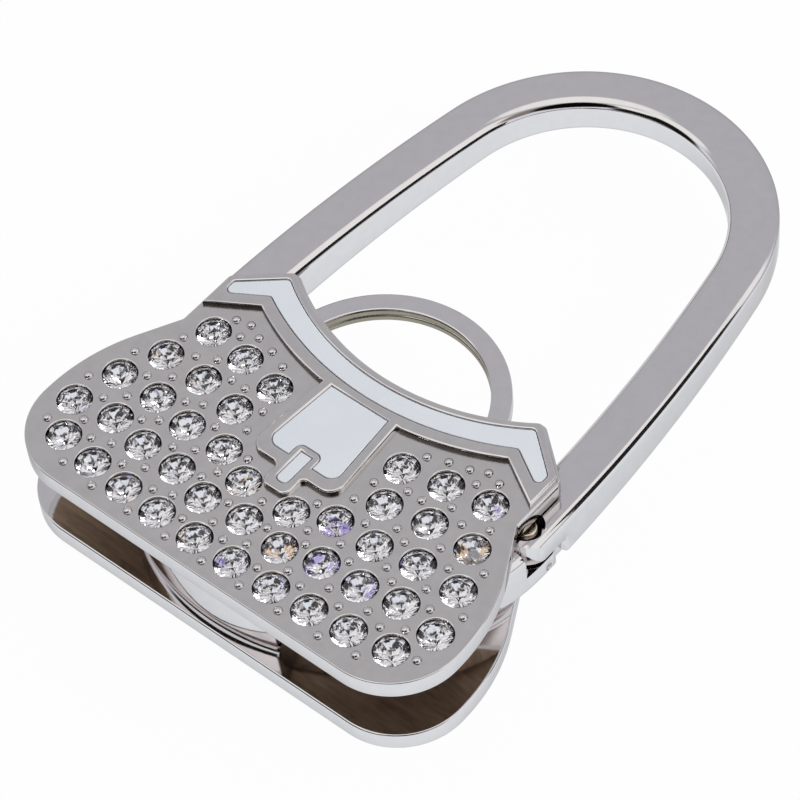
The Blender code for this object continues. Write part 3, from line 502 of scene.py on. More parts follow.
def rubber_material():
    """Soft black rubber: dull, with a fine pebbled skin."""
    material, tree, shader = new_material("pebbled_rubber")
    place = node(tree, "ShaderNodeTexCoord").outputs["Object"]
    pebbles = node(tree, "ShaderNodeTexVoronoi", Vector=place, Scale=1 / RUBBER_PEBBLE)
    height = pebbles.outputs["Distance"]
    feed(tree, shader, Base_Color=bpy.context.scene.hook_colours.rubber,
         Roughness=spread(tree, height, 0.55, 0.8), Normal=bumped(tree, 0.5, PEBBLE_RELIEF, height))
    return material


def turned_metal(name, colour, roughness):
    """Small turned metal part: fine tool marks and a soft shine."""
    material, tree, shader = new_material(name)
    marks = noise(tree, TOOL_MARK, 3.0)
    feed(tree, shader, Base_Color=getattr(bpy.context.scene.hook_colours, colour), Metallic=1.0,
         Roughness=spread(tree, marks, roughness * 0.7, roughness * 1.3),
         Normal=bumped(tree, 0.15, PLATE_RELIEF, marks))
    return material


def brass():
    """Turned brass: the post's end shows a pale warm yellow."""
    return turned_metal("pale_brass", "brass", 0.25)


def steel():
    """Drawn steel: plain grey pins and rivets."""
    return turned_metal("bright_steel", "steel", 0.22)


def magnet():
    """Sintered magnet under nickel: darker and smoother than the steel."""
    return turned_metal("nickel_plated_magnet", "magnet", 0.2)


def shared(make):
    """The one copy of a material, made at its first use."""
    key = make.__name__
    found = [m for m in bpy.data.materials if m.get("made_by") == key]
    if found:
        return found[0]
    material = make()
    material["made_by"] = key
    return material


def baked(name, shape):
    """Mesh of a shape, which is then freed."""
    mesh = bpy.data.meshes.new(name)
    shape.to_mesh(mesh)
    shape.free()
    return mesh


def placed(name, data):
    """New object in the scene."""
    made = bpy.data.objects.new(name, data)
    bpy.context.scene.collection.objects.link(made)
    return made


def add_piece(name, mesh, body, slot, *materials):
    """Put a finished mesh in the scene as a piece that moves with a body."""
    if not mesh.polygons:
        raise RuntimeError(f"{name} has no faces")
    piece = placed(name, mesh)
    for material in materials:
        mesh.materials.append(material)
    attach(piece, body)
    return piece


def is_level(face):
    return abs(face.normal.z) > LEVEL_COSINE


def mesh_from_shape(name, shape, sharp=35 * DEG):
    """Smooth mesh whose level faces stay flat: their edges against the rounded faces are kept sharp."""
    for edge in shape.edges:
        level = [is_level(face) for face in edge.link_faces]
        edge.smooth = len(set(level)) < 2
    mesh = baked(name, shape)
    mesh.polygons.foreach_set("use_smooth", [True] * len(mesh.polygons))
    kept = [edge.use_edge_sharp for edge in mesh.edges]
    mesh.set_sharp_from_angle(angle=sharp)
    for edge, was_sharp in zip(mesh.edges, kept):
        edge.use_edge_sharp |= was_sharp
    return mesh


def shape_from_object(source):
    """Evaluate an object with its modifiers as a clean shape, then remove the object."""
    bpy.context.view_layer.update()
    graph = bpy.context.evaluated_depsgraph_get()
    mesh = bpy.data.meshes.new_from_object(source.evaluated_get(graph))
    bpy.data.objects.remove(source, do_unlink=True)
    shape = bmesh.new()
    shape.from_mesh(mesh)
    bpy.data.meshes.remove(mesh)
    bmesh.ops.remove_doubles(shape, verts=shape.verts, dist=MERGE_DISTANCE)
    bmesh.ops.recalc_face_normals(shape, faces=shape.faces)
    return shape


def bends(corners):
    """Each corner's place and radius, its place as a vector, the way to it and the way on."""
    for index, (x, y, radius) in enumerate(corners):
        here = Vector((x, y))
        back = here - Vector(corners[index - 1][:2])
        ahead = Vector(corners[(index + 1) % len(corners)][:2]) - here
        yield x, y, radius, here, back, ahead


def drawn_in(corners, inset):
    """Move every side of an anticlockwise outline inwards; the sides meet again at the corners."""
    moved = []
    for x, y, radius, here, back, ahead in bends(corners):
        back, ahead = back.normalized(), ahead.normalized()
        inward = Vector((-back.y - ahead.y, back.x + ahead.x)).normalized()
        x, y = here + inward * inset / inward.dot(Vector((-back.y, back.x)))
        if radius > 0:
            hollow = back.cross(ahead) < 0
            radius = max(0, radius + inset if hollow else radius - inset)
        moved.append((x, y, radius))
    return moved


def rounded(corners):
    """Closed outline through (x, y, radius) corners, each rounded to its radius."""
    outline = []
    for x, y, radius, here, back, ahead in bends(corners):
        back, ahead = -back.normalized(), ahead.normalized()
        bend = math.pi - back.angle(ahead)
        if radius == 0 or bend < SLIGHT_BEND:
            outline.append((x, y))
            continue
        start = here + back * radius * math.tan(bend / 2)
        end = here + ahead * radius * math.tan(bend / 2)
        centre = here + (back + ahead).normalized() * radius / math.cos(bend / 2)
        steps = max(4, round(bend / ARC_STEP * min(1, radius / MM)))
        spin = (start - centre).angle_signed(end - centre)
        for step in range(steps + 1):
            arm = start - centre
            arm.rotate(Matrix.Rotation(-spin * step / steps, 2))
            outline.append(tuple(centre + arm))
    return outline


def softened(corners, radius):
    """Round the corners that bend by more than the arcs' own steps."""
    return [(x, y, radius if back.angle(ahead) > CORNER_BEND else own)
            for x, y, own, _, back, ahead in bends(corners)]


def mirrored(half):
    """Corners of the right half followed by their mirror images."""
    return half + [(-x, y, radius) for x, y, radius in reversed(half) if x > 0]


def hollow_arc(dip_y, rise, end_radius, steps=24):
    """Hollow edge across the bag from its right end to the middle; the end is rounded."""
    places = [TOP_CORNER_X * (1 - step / steps) for step in range(steps + 1)]
    if end_radius:
        places = places[:1] + [x for x in places if x < TOP_CORNER_X - end_radius]
    radius = (TOP_CORNER_X ** 2 + rise ** 2) / (2 * rise)
    arc = [(x, dip_y + radius - math.sqrt(radius ** 2 - x ** 2), 0) for x in places]
    return [(*arc[0][:2], end_radius)] + arc[1:]


def bag_top():
    """Top corner and hollow upper edge of the bag."""
    corner = (WAIST_HALF, BODY_TOP - TOP_CORNER_DROP, TOP_CORNER_RADIUS)
    return [corner, *hollow_arc(TOP_DIP_Y, TOP_ARC_RISE, TOP_CORNER_RADIUS)]


def bag_corners():
    """Bag-shaped outline of the shells."""
    shoulder_bend = math.atan2(WAIST_INSET, WAIST_Y - SHOULDER_Y)
    half = [
        (HALF_WIDTH, BODY_BOTTOM, BODY_CORNER_RADIUS),
        (HALF_WIDTH, SHOULDER_Y, SHOULDER_REACH / math.tan(shoulder_bend / 2)),
        (WAIST_HALF, WAIST_Y, TOP_CORNER_RADIUS),
        *bag_top(),
    ]
    return mirrored(half)


def band_underside(dip_y):
    """Lower edge of the band's right half, from the middle outwards."""
    return [*reversed(hollow_arc(dip_y, BAND_ARC_RISE, 0)), (WAIST_HALF, dip_y + BAND_END_RISE, 0)]


def raised_corners():
    """Band, flap and strap that stand proud of the stone field."""
    underside = [place for place in band_underside(BAND_DIP_Y) if place[0] > FLAP_TOP_HALF]
    half = [
        (STRAP_HALF, STRAP_BOTTOM_Y, STRAP_CORNER_RADIUS),
        (STRAP_HALF, FLAP_BOTTOM_Y, STRAP_ROOT_RADIUS),
        (FLAP_HALF, FLAP_BOTTOM_Y, FLAP_CORNER_RADIUS),
        (FLAP_TOP_HALF, BAND_DIP_Y + FLAP_TOP_RISE, 0),
        *underside,
    ]
    return drawn_in(mirrored(half + bag_top()), RAISE_INSET)


def band_inlay_corners():
    """Enamel strip of the band, a rim's width inside the band's edges."""
    underside = band_underside(BAND_DIP_Y + BAND_INLAY_RISE)
    outline = mirrored(underside[1:] + bag_top()) + underside[:1]
    return softened(drawn_in(outline, RIM), INLAY_CORNER_RADIUS)


def flap_inlay_corners():
    """Enamel panel of the flap with the round-topped notch above the strap."""
    notch_y = FLAP_LOW.y + NOTCH_RISE
    half = [
        (NOTCH_HALF, FLAP_LOW.y, 0),
        (FLAP_HIGH.x + FLAP_INLAY_FLARE, FLAP_LOW.y, FLAP_INLAY_RADIUS),
        (FLAP_TOP_HALF - RAISE_INSET - RIM, FLAP_HIGH.y, 0),
    ]
    return mirrored(half) + [(-NOTCH_HALF, notch_y, NOTCH_RADIUS), (NOTCH_HALF, notch_y, NOTCH_RADIUS)]


def strap_inlay_corners():
    """Enamel sliver of the strap, rounded at its foot."""
    low, high = STRAP_LOW, STRAP_HIGH
    radius = STRAP_INLAY_RADIUS
    return [(high.x, low.y, radius), (high.x, high.y, 0), (low.x, high.y, 0), (low.x, low.y, radius)]


def circle_points(place, radius, steps=32):
    """Points of a circle."""
    return [(place.x + radius * math.cos(math.tau * step / steps),
             place.y + radius * math.sin(math.tau * step / steps)) for step in range(steps)]


def plate_shape(outlines, low, high, edge, rounds=3):
    """Flat plate between two levels with rounded edges; inner outlines are holes."""
    curve = bpy.data.curves.new("plate", "CURVE")
    curve.dimensions = "2D"
    curve.fill_mode = "BOTH"
    curve.bevel_depth = edge
    curve.bevel_resolution = rounds
    curve.offset = -edge
    curve.extrude = (high - low) / 2 - edge
    for outline in outlines:
        spline = curve.splines.new("POLY")
        spline.points.add(len(outline) - 1)
        for point, (x, y) in zip(spline.points, outline):
            point.co = (x, y, 0, 1)
        spline.use_cyclic_u = True
    shape = shape_from_object(placed("plate", curve))
    bpy.data.curves.remove(curve)
    bmesh.ops.translate(shape, verts=shape.verts, vec=(0, 0, (low + high) / 2))
    return shape


def joined(shapes):
    """All the shapes as one."""
    whole = bmesh.new()
    for shape in shapes:
        mesh = baked("part", shape)
        whole.from_mesh(mesh)
        bpy.data.meshes.remove(mesh)
    return whole


def stone_centres():
    """Middle of each stone's girdle."""
    centres = []
    for name in STONES:
        low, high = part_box(name)
        centres.append(Vector(((low.x + high.x) / 2, (low.y + high.y) / 2, FIELD_Z - STONE_SINK)))
    return centres


def bead_places():
    """Middle of each bead, on the field."""
    height = BODY_TOP - BODY_BOTTOM
    pairs = [(side * x, y) for x, y in BEAD_PAIR_SHARES for side in (-1, 1)]
    return [Vector((x * HALF_WIDTH, BODY_BOTTOM + y * height, FIELD_Z))
            for x, y in pairs + list(BEAD_MIDDLE_SHARES)]


def bead_shape():
    """Low round beads between the stones."""
    sizes = bpy.context.scene.hook_sizes
    radius = sizes.bead_diameter / 2
    squash = Matrix.Diagonal((1, 1, sizes.bead_height / radius, 1))
    shape = bmesh.new()
    for place in bead_places():
        bmesh.ops.create_uvsphere(shape, u_segments=14, v_segments=8, radius=radius,
                                  matrix=Matrix.Translation(place) @ squash)
    return shape


def polish_slopes(shape):
    """Polish all faces that aren't level."""
    for face in shape.faces:
        if not is_level(face):
            face.material_index = POLISHED


class HOOK_OT_front_shell(Operator):
    """Build the jewelled front shell with its seats, beads, band, flap and strap"""

    bl_idname = "hook.front_shell"
    bl_label = "Front Shell"

    def execute(self, context):
        sizes = context.scene.hook_sizes
        seats = [circle_points(place, STONE_RADIUS + SEAT_GAP) for place in stone_centres()]
        field = plate_shape([rounded(bag_corners())] + seats, FRONT_LOW.z, FIELD_Z, sizes.seat_edge)
        floor = plate_shape([rounded(drawn_in(bag_corners(), RIM / 2))],
                            FRONT_LOW.z - SEAT_FLOOR_OVERLAP, FIELD_Z - SEAT_DEPTH, 0)
        recesses = [band_inlay_corners(), flap_inlay_corners(), strap_inlay_corners()]
        holes = [rounded(drawn_in(corners, -RECESS_GAP)) for corners in recesses]
        band = plate_shape([rounded(raised_corners())] + holes, FIELD_Z - BAND_SINK, RAISED_Z,
                           sizes.band_edge)
        beads = bead_shape()
        for shape in (field, band, beads):
            polish_slopes(shape)
        # Painted shadow: the seats' walls and the band's lower steps take a darker plate for their shade
        self.paint_recess_shadow(field, band)
        for face in floor.faces:
            face.material_index = CASTING
        mesh = mesh_from_shape("front_shell", joined([field, floor, band, beads]))
        # The last slot is the painted shadow of the seats and steps
        finishes = {SATIN: satin_nickel, POLISHED: polished_nickel, CASTING: raw_casting,
                    PAINTED_SHADOW: shadow_painted_nickel}
        piece = add_piece("front_shell", mesh, "body", "plated_zinc",
                          *(shared(finishes[slot]) for slot in sorted(finishes)))
        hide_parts("front_plate")
        return {"FINISHED"}

    def paint_recess_shadow(self, field, band):
        """Paint shadow on the seats' walls and on the band's steps that face the bag's lower edge: a darker
        plate for the shade in these gaps.
        """
        centres = [centre.xy for centre in stone_centres()]
        reach = (STONE_RADIUS + SEAT_GAP) * SEAT_WALL_SHARE
        for face in field.faces:
            place = face.calc_center_median().xy
            if face.material_index == POLISHED and min((place - centre).length for centre in centres) < reach:
                face.material_index = PAINTED_SHADOW
        for face in band.faces:
            if face.normal.y < -STEP_FACING and abs(face.normal.z) < STEP_RISE:
                face.material_index = PAINTED_SHADOW


class HOOK_OT_enamel(Operator):
    """Pour the three enamel inlays of the band, flap and strap"""

    bl_idname = "hook.enamel"
    bl_label = "Enamel"

    def execute(self, context):
        inlays = {
            "enamel_band": band_inlay_corners(),
            "enamel_flap": flap_inlay_corners(),
            "enamel_tab": strap_inlay_corners(),
        }
        for name, corners in inlays.items():
            shape = plate_shape([rounded(corners)], FIELD_Z - ENAMEL_SINK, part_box(name)[1].z, ENAMEL_EDGE)
            mesh = mesh_from_shape(f"{name}_fill", shape)
            piece = add_piece(f"{name}_fill", mesh, "body", "enamel", shared(enamel_material))
            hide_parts(name)
        return {"FINISHED"}


class HOOK_OT_stones(Operator):
    """Cut and set the round stones"""

    bl_idname = "hook.stones"
    bl_label = "Stones"

    def execute(self, context):
        for number, (name, centre) in enumerate(zip(STONES, stone_centres())):
            shape = self.cut_stone(STONE_RADIUS)
            turn = Matrix.Rotation(number * STONE_TURN_STEP, 4, "Z")
            tilt = Matrix.Rotation(STONE_TILT * math.sin(number * STONE_WAVE_STEP), 4, "X")
            bmesh.ops.transform(shape, matrix=Matrix.Translation(centre) @ tilt @ turn, verts=shape.verts)
            mesh = baked(f"{name}_cut", shape)
            piece = add_piece(f"{name}_cut", mesh, "body", "crystal", shared(stone_glass), shared(stone_foil))
            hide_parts(name)
        return {"FINISHED"}

    def cut_stone(self, radius):
        """Hull round rings of corners: table, crown facets, girdle and pointed back."""
        shape = bmesh.new()
        for sides, width, height, turn in STONE_RING_SHARES:
            matrix = (Matrix.Translation((0, 0, height * radius))
                      @ Matrix.Rotation(turn * math.tau / sides, 4, "Z"))
            bmesh.ops.create_circle(shape, segments=sides, radius=width * radius, matrix=matrix)
        shape.verts.new((0, 0, STONE_POINT_SHARE * radius))
        bmesh.ops.convex_hull(shape, input=shape.verts)
        loose = [edge for edge in shape.edges if not edge.link_faces]
        bmesh.ops.delete(shape, geom=loose, context="EDGES")
        bmesh.ops.dissolve_limit(shape, angle_limit=1 * DEG, verts=shape.verts, edges=shape.edges)
        bmesh.ops.recalc_face_normals(shape, faces=shape.faces)
        for face in shape.faces:
            face.material_index = 1 if face.normal.z < -0.05 else 0
        return shape


class HOOK_OT_rear_shell(Operator):
    """Build the plain rear shell"""

    bl_idname = "hook.rear_shell"
    bl_label = "Rear Shell"

    def execute(self, context):
        sizes = context.scene.hook_sizes
        shape = plate_shape([rounded(bag_corners())], REAR_LOW.z, REAR_HIGH.z, sizes.shell_edge)
        piece = add_piece("rear_shell", mesh_from_shape("rear_shell", shape), "body", "plated_zinc",
                          shared(polished_nickel))
        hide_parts("back_plate")
        return {"FINISHED"}


class HOOK_OT_pad(Operator):
    """Lay the rubber pad under the rear shell"""

    bl_idname = "hook.pad"
    bl_label = "Grip Pad"

    def execute(self, context):
        outline = rounded(drawn_in(bag_corners(), PAD_INSET))
        shape = plate_shape([outline], PAD_LOW.z, REAR_LOW.z + PAD_OVERLAP, PAD_EDGE)
        piece = add_piece("rubber_pad", mesh_from_shape("rubber_pad", shape), "body", "rubber",
                          shared(rubber_material))
        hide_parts("grip_pad")
        return {"FINISHED"}


def side_arcs():
    """Radius and reach of the loop's long side arcs, which touch both end arcs."""
    rise = TOP_CENTRE.y - BOTTOM_CENTRE.y
    radius = (rise ** 2 + BOTTOM_RADIUS ** 2 - TOP_RADIUS ** 2) / (2 * (BOTTOM_RADIUS - TOP_RADIUS))
    return radius, math.asin(rise / (radius - TOP_RADIUS))


def bar_section(x, outer_edge, inner_edge, half_width=BAR_HALF, half_height=LOOP_HEIGHT / 2, rounds=8):
    """Section of a bar, upright across the X axis at the lower arc's middle height."""
    shape = bmesh.new()
    corners = ((-1, -1), (1, -1), (1, 1), (-1, 1))
    verts = [shape.verts.new((x + across * half_width, BOTTOM_CENTRE.y, up * half_height))
             for across, up in corners]
    shape.faces.new(verts)
    outer = [vert for vert in verts if abs(vert.co.x) > abs(x)]
    inner = [vert for vert in verts if abs(vert.co.x) < abs(x)]
    for geom, edge in ((outer, outer_edge), (inner, inner_edge)):
        bmesh.ops.bevel(shape, geom=geom, offset=edge, offset_type="OFFSET", segments=rounds,
                        profile=0.5, affect="VERTICES", material=-1)
    return shape


def spin_on(shape, ends, centre, angle, steps, lift=0):
    """Carry the bar's open end on round a centre; at the start all of it is the end."""
    ends = ends or shape.verts[:] + shape.edges[:] + shape.faces[:]
    made = bmesh.ops.spin(shape, geom=ends, cent=centre, axis=(0, 0, 1), angle=angle, steps=steps,
                          dvec=(0, 0, lift / steps), use_merge=False, use_duplicate=False)
    return made["geom_last"]


def close_bar(shape):
    """Merge, cap and turn outwards a bar that spin has drawn."""
    bmesh.ops.remove_doubles(shape, verts=shape.verts, dist=MERGE_DISTANCE)
    inner = [face for face in shape.faces if all(len(edge.link_faces) > 2 for edge in face.edges)]
    bmesh.ops.delete(shape, geom=inner, context="FACES_ONLY")
    bmesh.ops.holes_fill(shape, edges=[edge for edge in shape.edges if edge.is_boundary], sides=0)
    bmesh.ops.recalc_face_normals(shape, faces=shape.faces)


def cutter_object(name, shape):
    """Object of a shape, for the cutting modifiers."""
    return placed(name, baked(name, shape))


def box_shape(low, high):
    """Box between two corners."""
    shape = bmesh.new()
    size = Vector(high) - Vector(low)
    middle = (Vector(high) + Vector(low)) / 2
    bmesh.ops.create_cube(shape, size=1, matrix=Matrix.Translation(middle) @ Matrix.Diagonal((*size, 1)))
    return shape


def rod_shape(start, end, radius, sides=48):
    """Cylinder between two points."""
    shape = bmesh.new()
    along = Vector(end) - Vector(start)
    turn = along.to_track_quat("Z", "Y").to_matrix().to_4x4()
    matrix = Matrix.Translation((Vector(start) + Vector(end)) / 2) @ turn
    bmesh.ops.create_cone(shape, cap_ends=True, segments=sides, radius1=radius, radius2=radius,
                          depth=along.length, matrix=matrix)
    return shape


def subtract(piece, cutter):
    """Cut one object with another by a modifier."""
    modifier = piece.modifiers.new("cut", "BOOLEAN")
    modifier.operation = "DIFFERENCE"
    modifier.solver = "EXACT"
    modifier.object = cutter


def upright_rod(low, high, radius, sides=48):
    """Cylinder on the hinge's axis between two levels."""
    return rod_shape((PIVOT.x, PIVOT.y, low), (PIVOT.x, PIVOT.y, high), radius, sides)


def cut_away(shape, tools):
    """Cut a shape with others, one after the other, then soften the new edges."""
    piece = cutter_object("bar", shape)
    cutters = [cutter_object("tool", tool) for tool in tools]
    for cutter in cutters:
        subtract(piece, cutter)
    edge = piece.modifiers.new("cut edges", "BEVEL")
    edge.width = bpy.context.scene.hook_sizes.cut_edge
    edge.segments = 2
    edge.limit_method = "ANGLE"
    edge.angle_limit = 50 * DEG
    result = shape_from_object(piece)
    for cutter in cutters:
        bpy.data.objects.remove(cutter, do_unlink=True)
    return result


def lap_tools(upper, shoulder, outward):
    """What is cut from a bar's end to leave a half-thick lap with a round end."""
    low, high = LOOP_Z - LAP_CUT_HALF_HEIGHT, LOOP_Z + LAP_CUT_HALF_HEIGHT
    half_low = low if upper else LOOP_Z - LAP_HALF_GAP
    half_high = LOOP_Z + LAP_HALF_GAP if upper else high
    near, beyond = sorted((shoulder, shoulder + outward * LAP_CUT_REACH))
    half = box_shape((0, near, half_low), (LAP_CUT_REACH, beyond, half_high))
    near, beyond = sorted((PIVOT.y, PIVOT.y + outward * LAP_CUT_REACH))
    block = cutter_object("block", box_shape((0, near, low), (LAP_CUT_REACH, beyond, high)))
    keep = cutter_object("keep", upright_rod(low - CUT_OVERRUN, high + CUT_OVERRUN, LAP_RADIUS, 96))
    subtract(block, keep)
    end = shape_from_object(block)
    bpy.data.objects.remove(keep, do_unlink=True)
    return [half, end]


def magnet_seat(outward):
    """Blind hole for the magnet in the butt joint's end."""
    angle = math.pi + CATCH_ANGLE
    place = BOTTOM_CENTRE + Vector((math.cos(angle), math.sin(angle), 0)) * BOTTOM_RADIUS
    place.z = LOOP_Z
    along = Vector((-math.sin(CATCH_ANGLE), math.cos(CATCH_ANGLE), 0)) * outward
    start = place + along * 2 * CUT_OVERRUN
    return rod_shape(start, place - along * (HALF_GAP + MAGNET_SEAT_DEPTH), MAGNET_SEAT_RADIUS)


class HOOK_OT_shackle(Operator):
    """Draw the shackle round its arcs, thin its tip and cut its hinged and free ends"""

    bl_idname = "hook.shackle"
    bl_label = "Shackle"

    def execute(self, context):
        sizes = context.scene.hook_sizes
        side, lean = side_arcs()
        shape = bar_section(-BOTTOM_RADIUS, sizes.bar_edge, sizes.inner_edge)
        gap = HALF_GAP / BOTTOM_RADIUS
        start = CATCH_ANGLE - gap
        bmesh.ops.rotate(shape, verts=shape.verts, cent=BOTTOM_CENTRE, matrix=Matrix.Rotation(start, 3, "Z"))
        left = Vector((side - BOTTOM_RADIUS, BOTTOM_CENTRE.y, 0))
        right = Vector((BOTTOM_RADIUS - side, BOTTOM_CENTRE.y, 0))
        ends = spin_on(shape, None, BOTTOM_CENTRE, -start, steps=4)
        ends = spin_on(shape, ends, left, -lean, steps=24)
        ends = spin_on(shape, ends, TOP_CENTRE, -(math.pi - 2 * lean), sizes.arc_steps)
        ends = spin_on(shape, ends, right, -lean, steps=24)
        spin_on(shape, ends, BOTTOM_CENTRE, -LAP_OVERRUN_ANGLE, steps=3)
        close_bar(shape)
        self.thin_tip(shape)
        bmesh.ops.translate(shape, verts=shape.verts, vec=(0, 0, LOOP_Z))
        top = SHACKLE_HIGH.z
        tools = lap_tools(True, PIVOT.y + LAP_REACH, -1)
        tools.append(upright_rod(LOOP_Z - CUT_OVERRUN, top + CUT_OVERRUN, BORE_RADIUS))
        tools.append(upright_rod(top - SINK_DEPTH, top + CUT_OVERRUN, SINK_RADIUS))
        tools.append(magnet_seat(-1))
        mesh = mesh_from_shape("shackle_bar", cut_away(shape, tools))
        piece = add_piece("shackle_bar", mesh, "shackle", "plated_zinc", shared(polished_nickel))
        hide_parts("shackle")
        return {"FINISHED"}

    def thin_tip(self, shape):
        """Thin the bar evenly from the hinge to the tip."""
        start = PIVOT.y + LAP_REACH
        tip = SHACKLE_HIGH.y
        for vert in shape.verts:
            share = max(0.0, (vert.co.y - start) / (tip - start))
            vert.co.z *= 1 - share * (1 - TIP_HEIGHT / LOOP_HEIGHT)


class HOOK_OT_spacer_arc(Operator):
    """Draw the lower arc between the shells, with the hinge's tongue and the thinned stretch"""

    bl_idname = "hook.spacer_arc"
    bl_label = "Spacer Arc"

    def execute(self, context):
        sizes = context.scene.hook_sizes
        side, _ = side_arcs()
        shape = bar_section(BOTTOM_RADIUS, sizes.bar_edge, sizes.inner_edge)
        right = Vector((BOTTOM_RADIUS - side, BOTTOM_CENTRE.y, 0))
        reach = (PIVOT.y + LAP_RADIUS + LAP_OVERRUN - BOTTOM_CENTRE.y) / side
        bmesh.ops.rotate(shape, verts=shape.verts, cent=right, matrix=Matrix.Rotation(reach, 3, "Z"))
        ends = spin_on(shape, None, right, -reach, steps=2)
        sweep = math.pi - CATCH_ANGLE - HALF_GAP / BOTTOM_RADIUS
        spin_on(shape, ends, BOTTOM_CENTRE, -sweep, sizes.arc_steps)
        close_bar(shape)
        bmesh.ops.translate(shape, verts=shape.verts, vec=(0, 0, LOOP_Z))
        pin = (PIN_LOW + PIN_HIGH) / 2
        pin_seat = rod_shape((PIN_LOW.x, pin.y, pin.z), (PIN_HIGH.x + CUT_OVERRUN, pin.y, pin.z),
                             PIN_SEAT_RADIUS, 24)
        tools = [*lap_tools(False, PIVOT.y - LAP_REACH, 1), self.relief(), magnet_seat(1), pin_seat]
        mesh = mesh_from_shape("lower_arc", cut_away(shape, tools))
        piece = add_piece("lower_arc", mesh, "body", "plated_zinc", shared(polished_nickel))
        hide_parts("spacer_arc")
        return {"FINISHED"}

    def relief(self):
        """Sector outside the thinned stretch."""
        inner = BOTTOM_RADIUS + BAR_HALF - RELIEF_DEPTH
        steps = 24
        angles = [RELIEF_START + (RELIEF_END - RELIEF_START) * step / steps for step in range(steps + 1)]
        rays = [Vector((math.cos(angle), math.sin(angle), 0)) for angle in angles]
        outline = [(BOTTOM_CENTRE + ray * inner).xy for ray in reversed(rays)]
        outline += [(BOTTOM_CENTRE + ray * 2 * inner).xy for ray in rays]
        return plate_shape([outline], LOOP_Z - RELIEF_CUT_HALF_HEIGHT, LOOP_Z + RELIEF_CUT_HALF_HEIGHT, 0)


class HOOK_OT_key_ring(Operator):
    """Wind the flat split ring"""

    bl_idname = "hook.key_ring"
    bl_label = "Key Ring"

    def execute(self, context):
        sizes = context.scene.hook_sizes
        pitch = WIRE_THICKNESS + sizes.coil_gap
        shape = bar_section(RING_RADIUS, WIRE_EDGE, WIRE_EDGE, WIRE_WIDTH / 2, WIRE_THICKNESS / 2, rounds=3)
        bmesh.ops.translate(shape, verts=shape.verts, vec=(0, -BOTTOM_CENTRE.y, -pitch / 2))
        flat = math.tau - WIRE_STEP_ANGLE
        ends = spin_on(shape, None, (0, 0, 0), flat, sizes.arc_steps * 2)
        ends = spin_on(shape, ends, (0, 0, 0), WIRE_STEP_ANGLE, steps=12, lift=pitch)
        spin_on(shape, ends, (0, 0, 0), flat, sizes.arc_steps * 2)
        close_bar(shape)
        # The inner faces take the darker, yellowish plate
        for face in shape.faces:
            facing_in = -face.normal.dot(face.calc_center_median().normalized())
            face.material_index = 1 if facing_in > 0.9 else 0
        turn = Matrix.Rotation(WIRE_END_TURN, 4, "Z")
        bmesh.ops.transform(shape, matrix=Matrix.Translation(RING_CENTRE) @ turn, verts=shape.verts)
        mesh = mesh_from_shape("split_ring", shape)
        piece = add_piece("split_ring", mesh, "key_ring", "steel", shared(polished_nickel),
                          shared(worn_plate))
        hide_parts("key_ring")
        return {"FINISHED"}


class HOOK_OT_fittings(Operator):
    """Turn the pivot post and give the small fittings their metals"""

    bl_idname = "hook.fittings"
    bl_label = "Fittings"

    def execute(self, context):
        post = upright_rod(POST_LOW.z, POST_HIGH.z, (POST_HIGH.x - POST_LOW.x) / 2, 64)
        rims = [edge for edge in post.edges if edge.calc_face_angle(0) > 60 * DEG]
        bmesh.ops.bevel(post, geom=rims, offset=POST_EDGE, segments=3, profile=0.5, affect="EDGES",
                        material=-1)
        piece = add_piece("hinge_post", mesh_from_shape("hinge_post", post), "body", "brass", shared(brass))
        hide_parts("pivot_post")
        metals = {steel: ("cross_pin", "key_ring_post", "rivet_left", "rivet_right", "rivet_bottom"),
                  magnet: ("catch_magnet", "shackle_magnet")}
        for metal, names in metals.items():
            for name in names:
                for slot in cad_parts[name].material_slots:
                    slot.material = shared(metal)
        return {"FINISHED"}


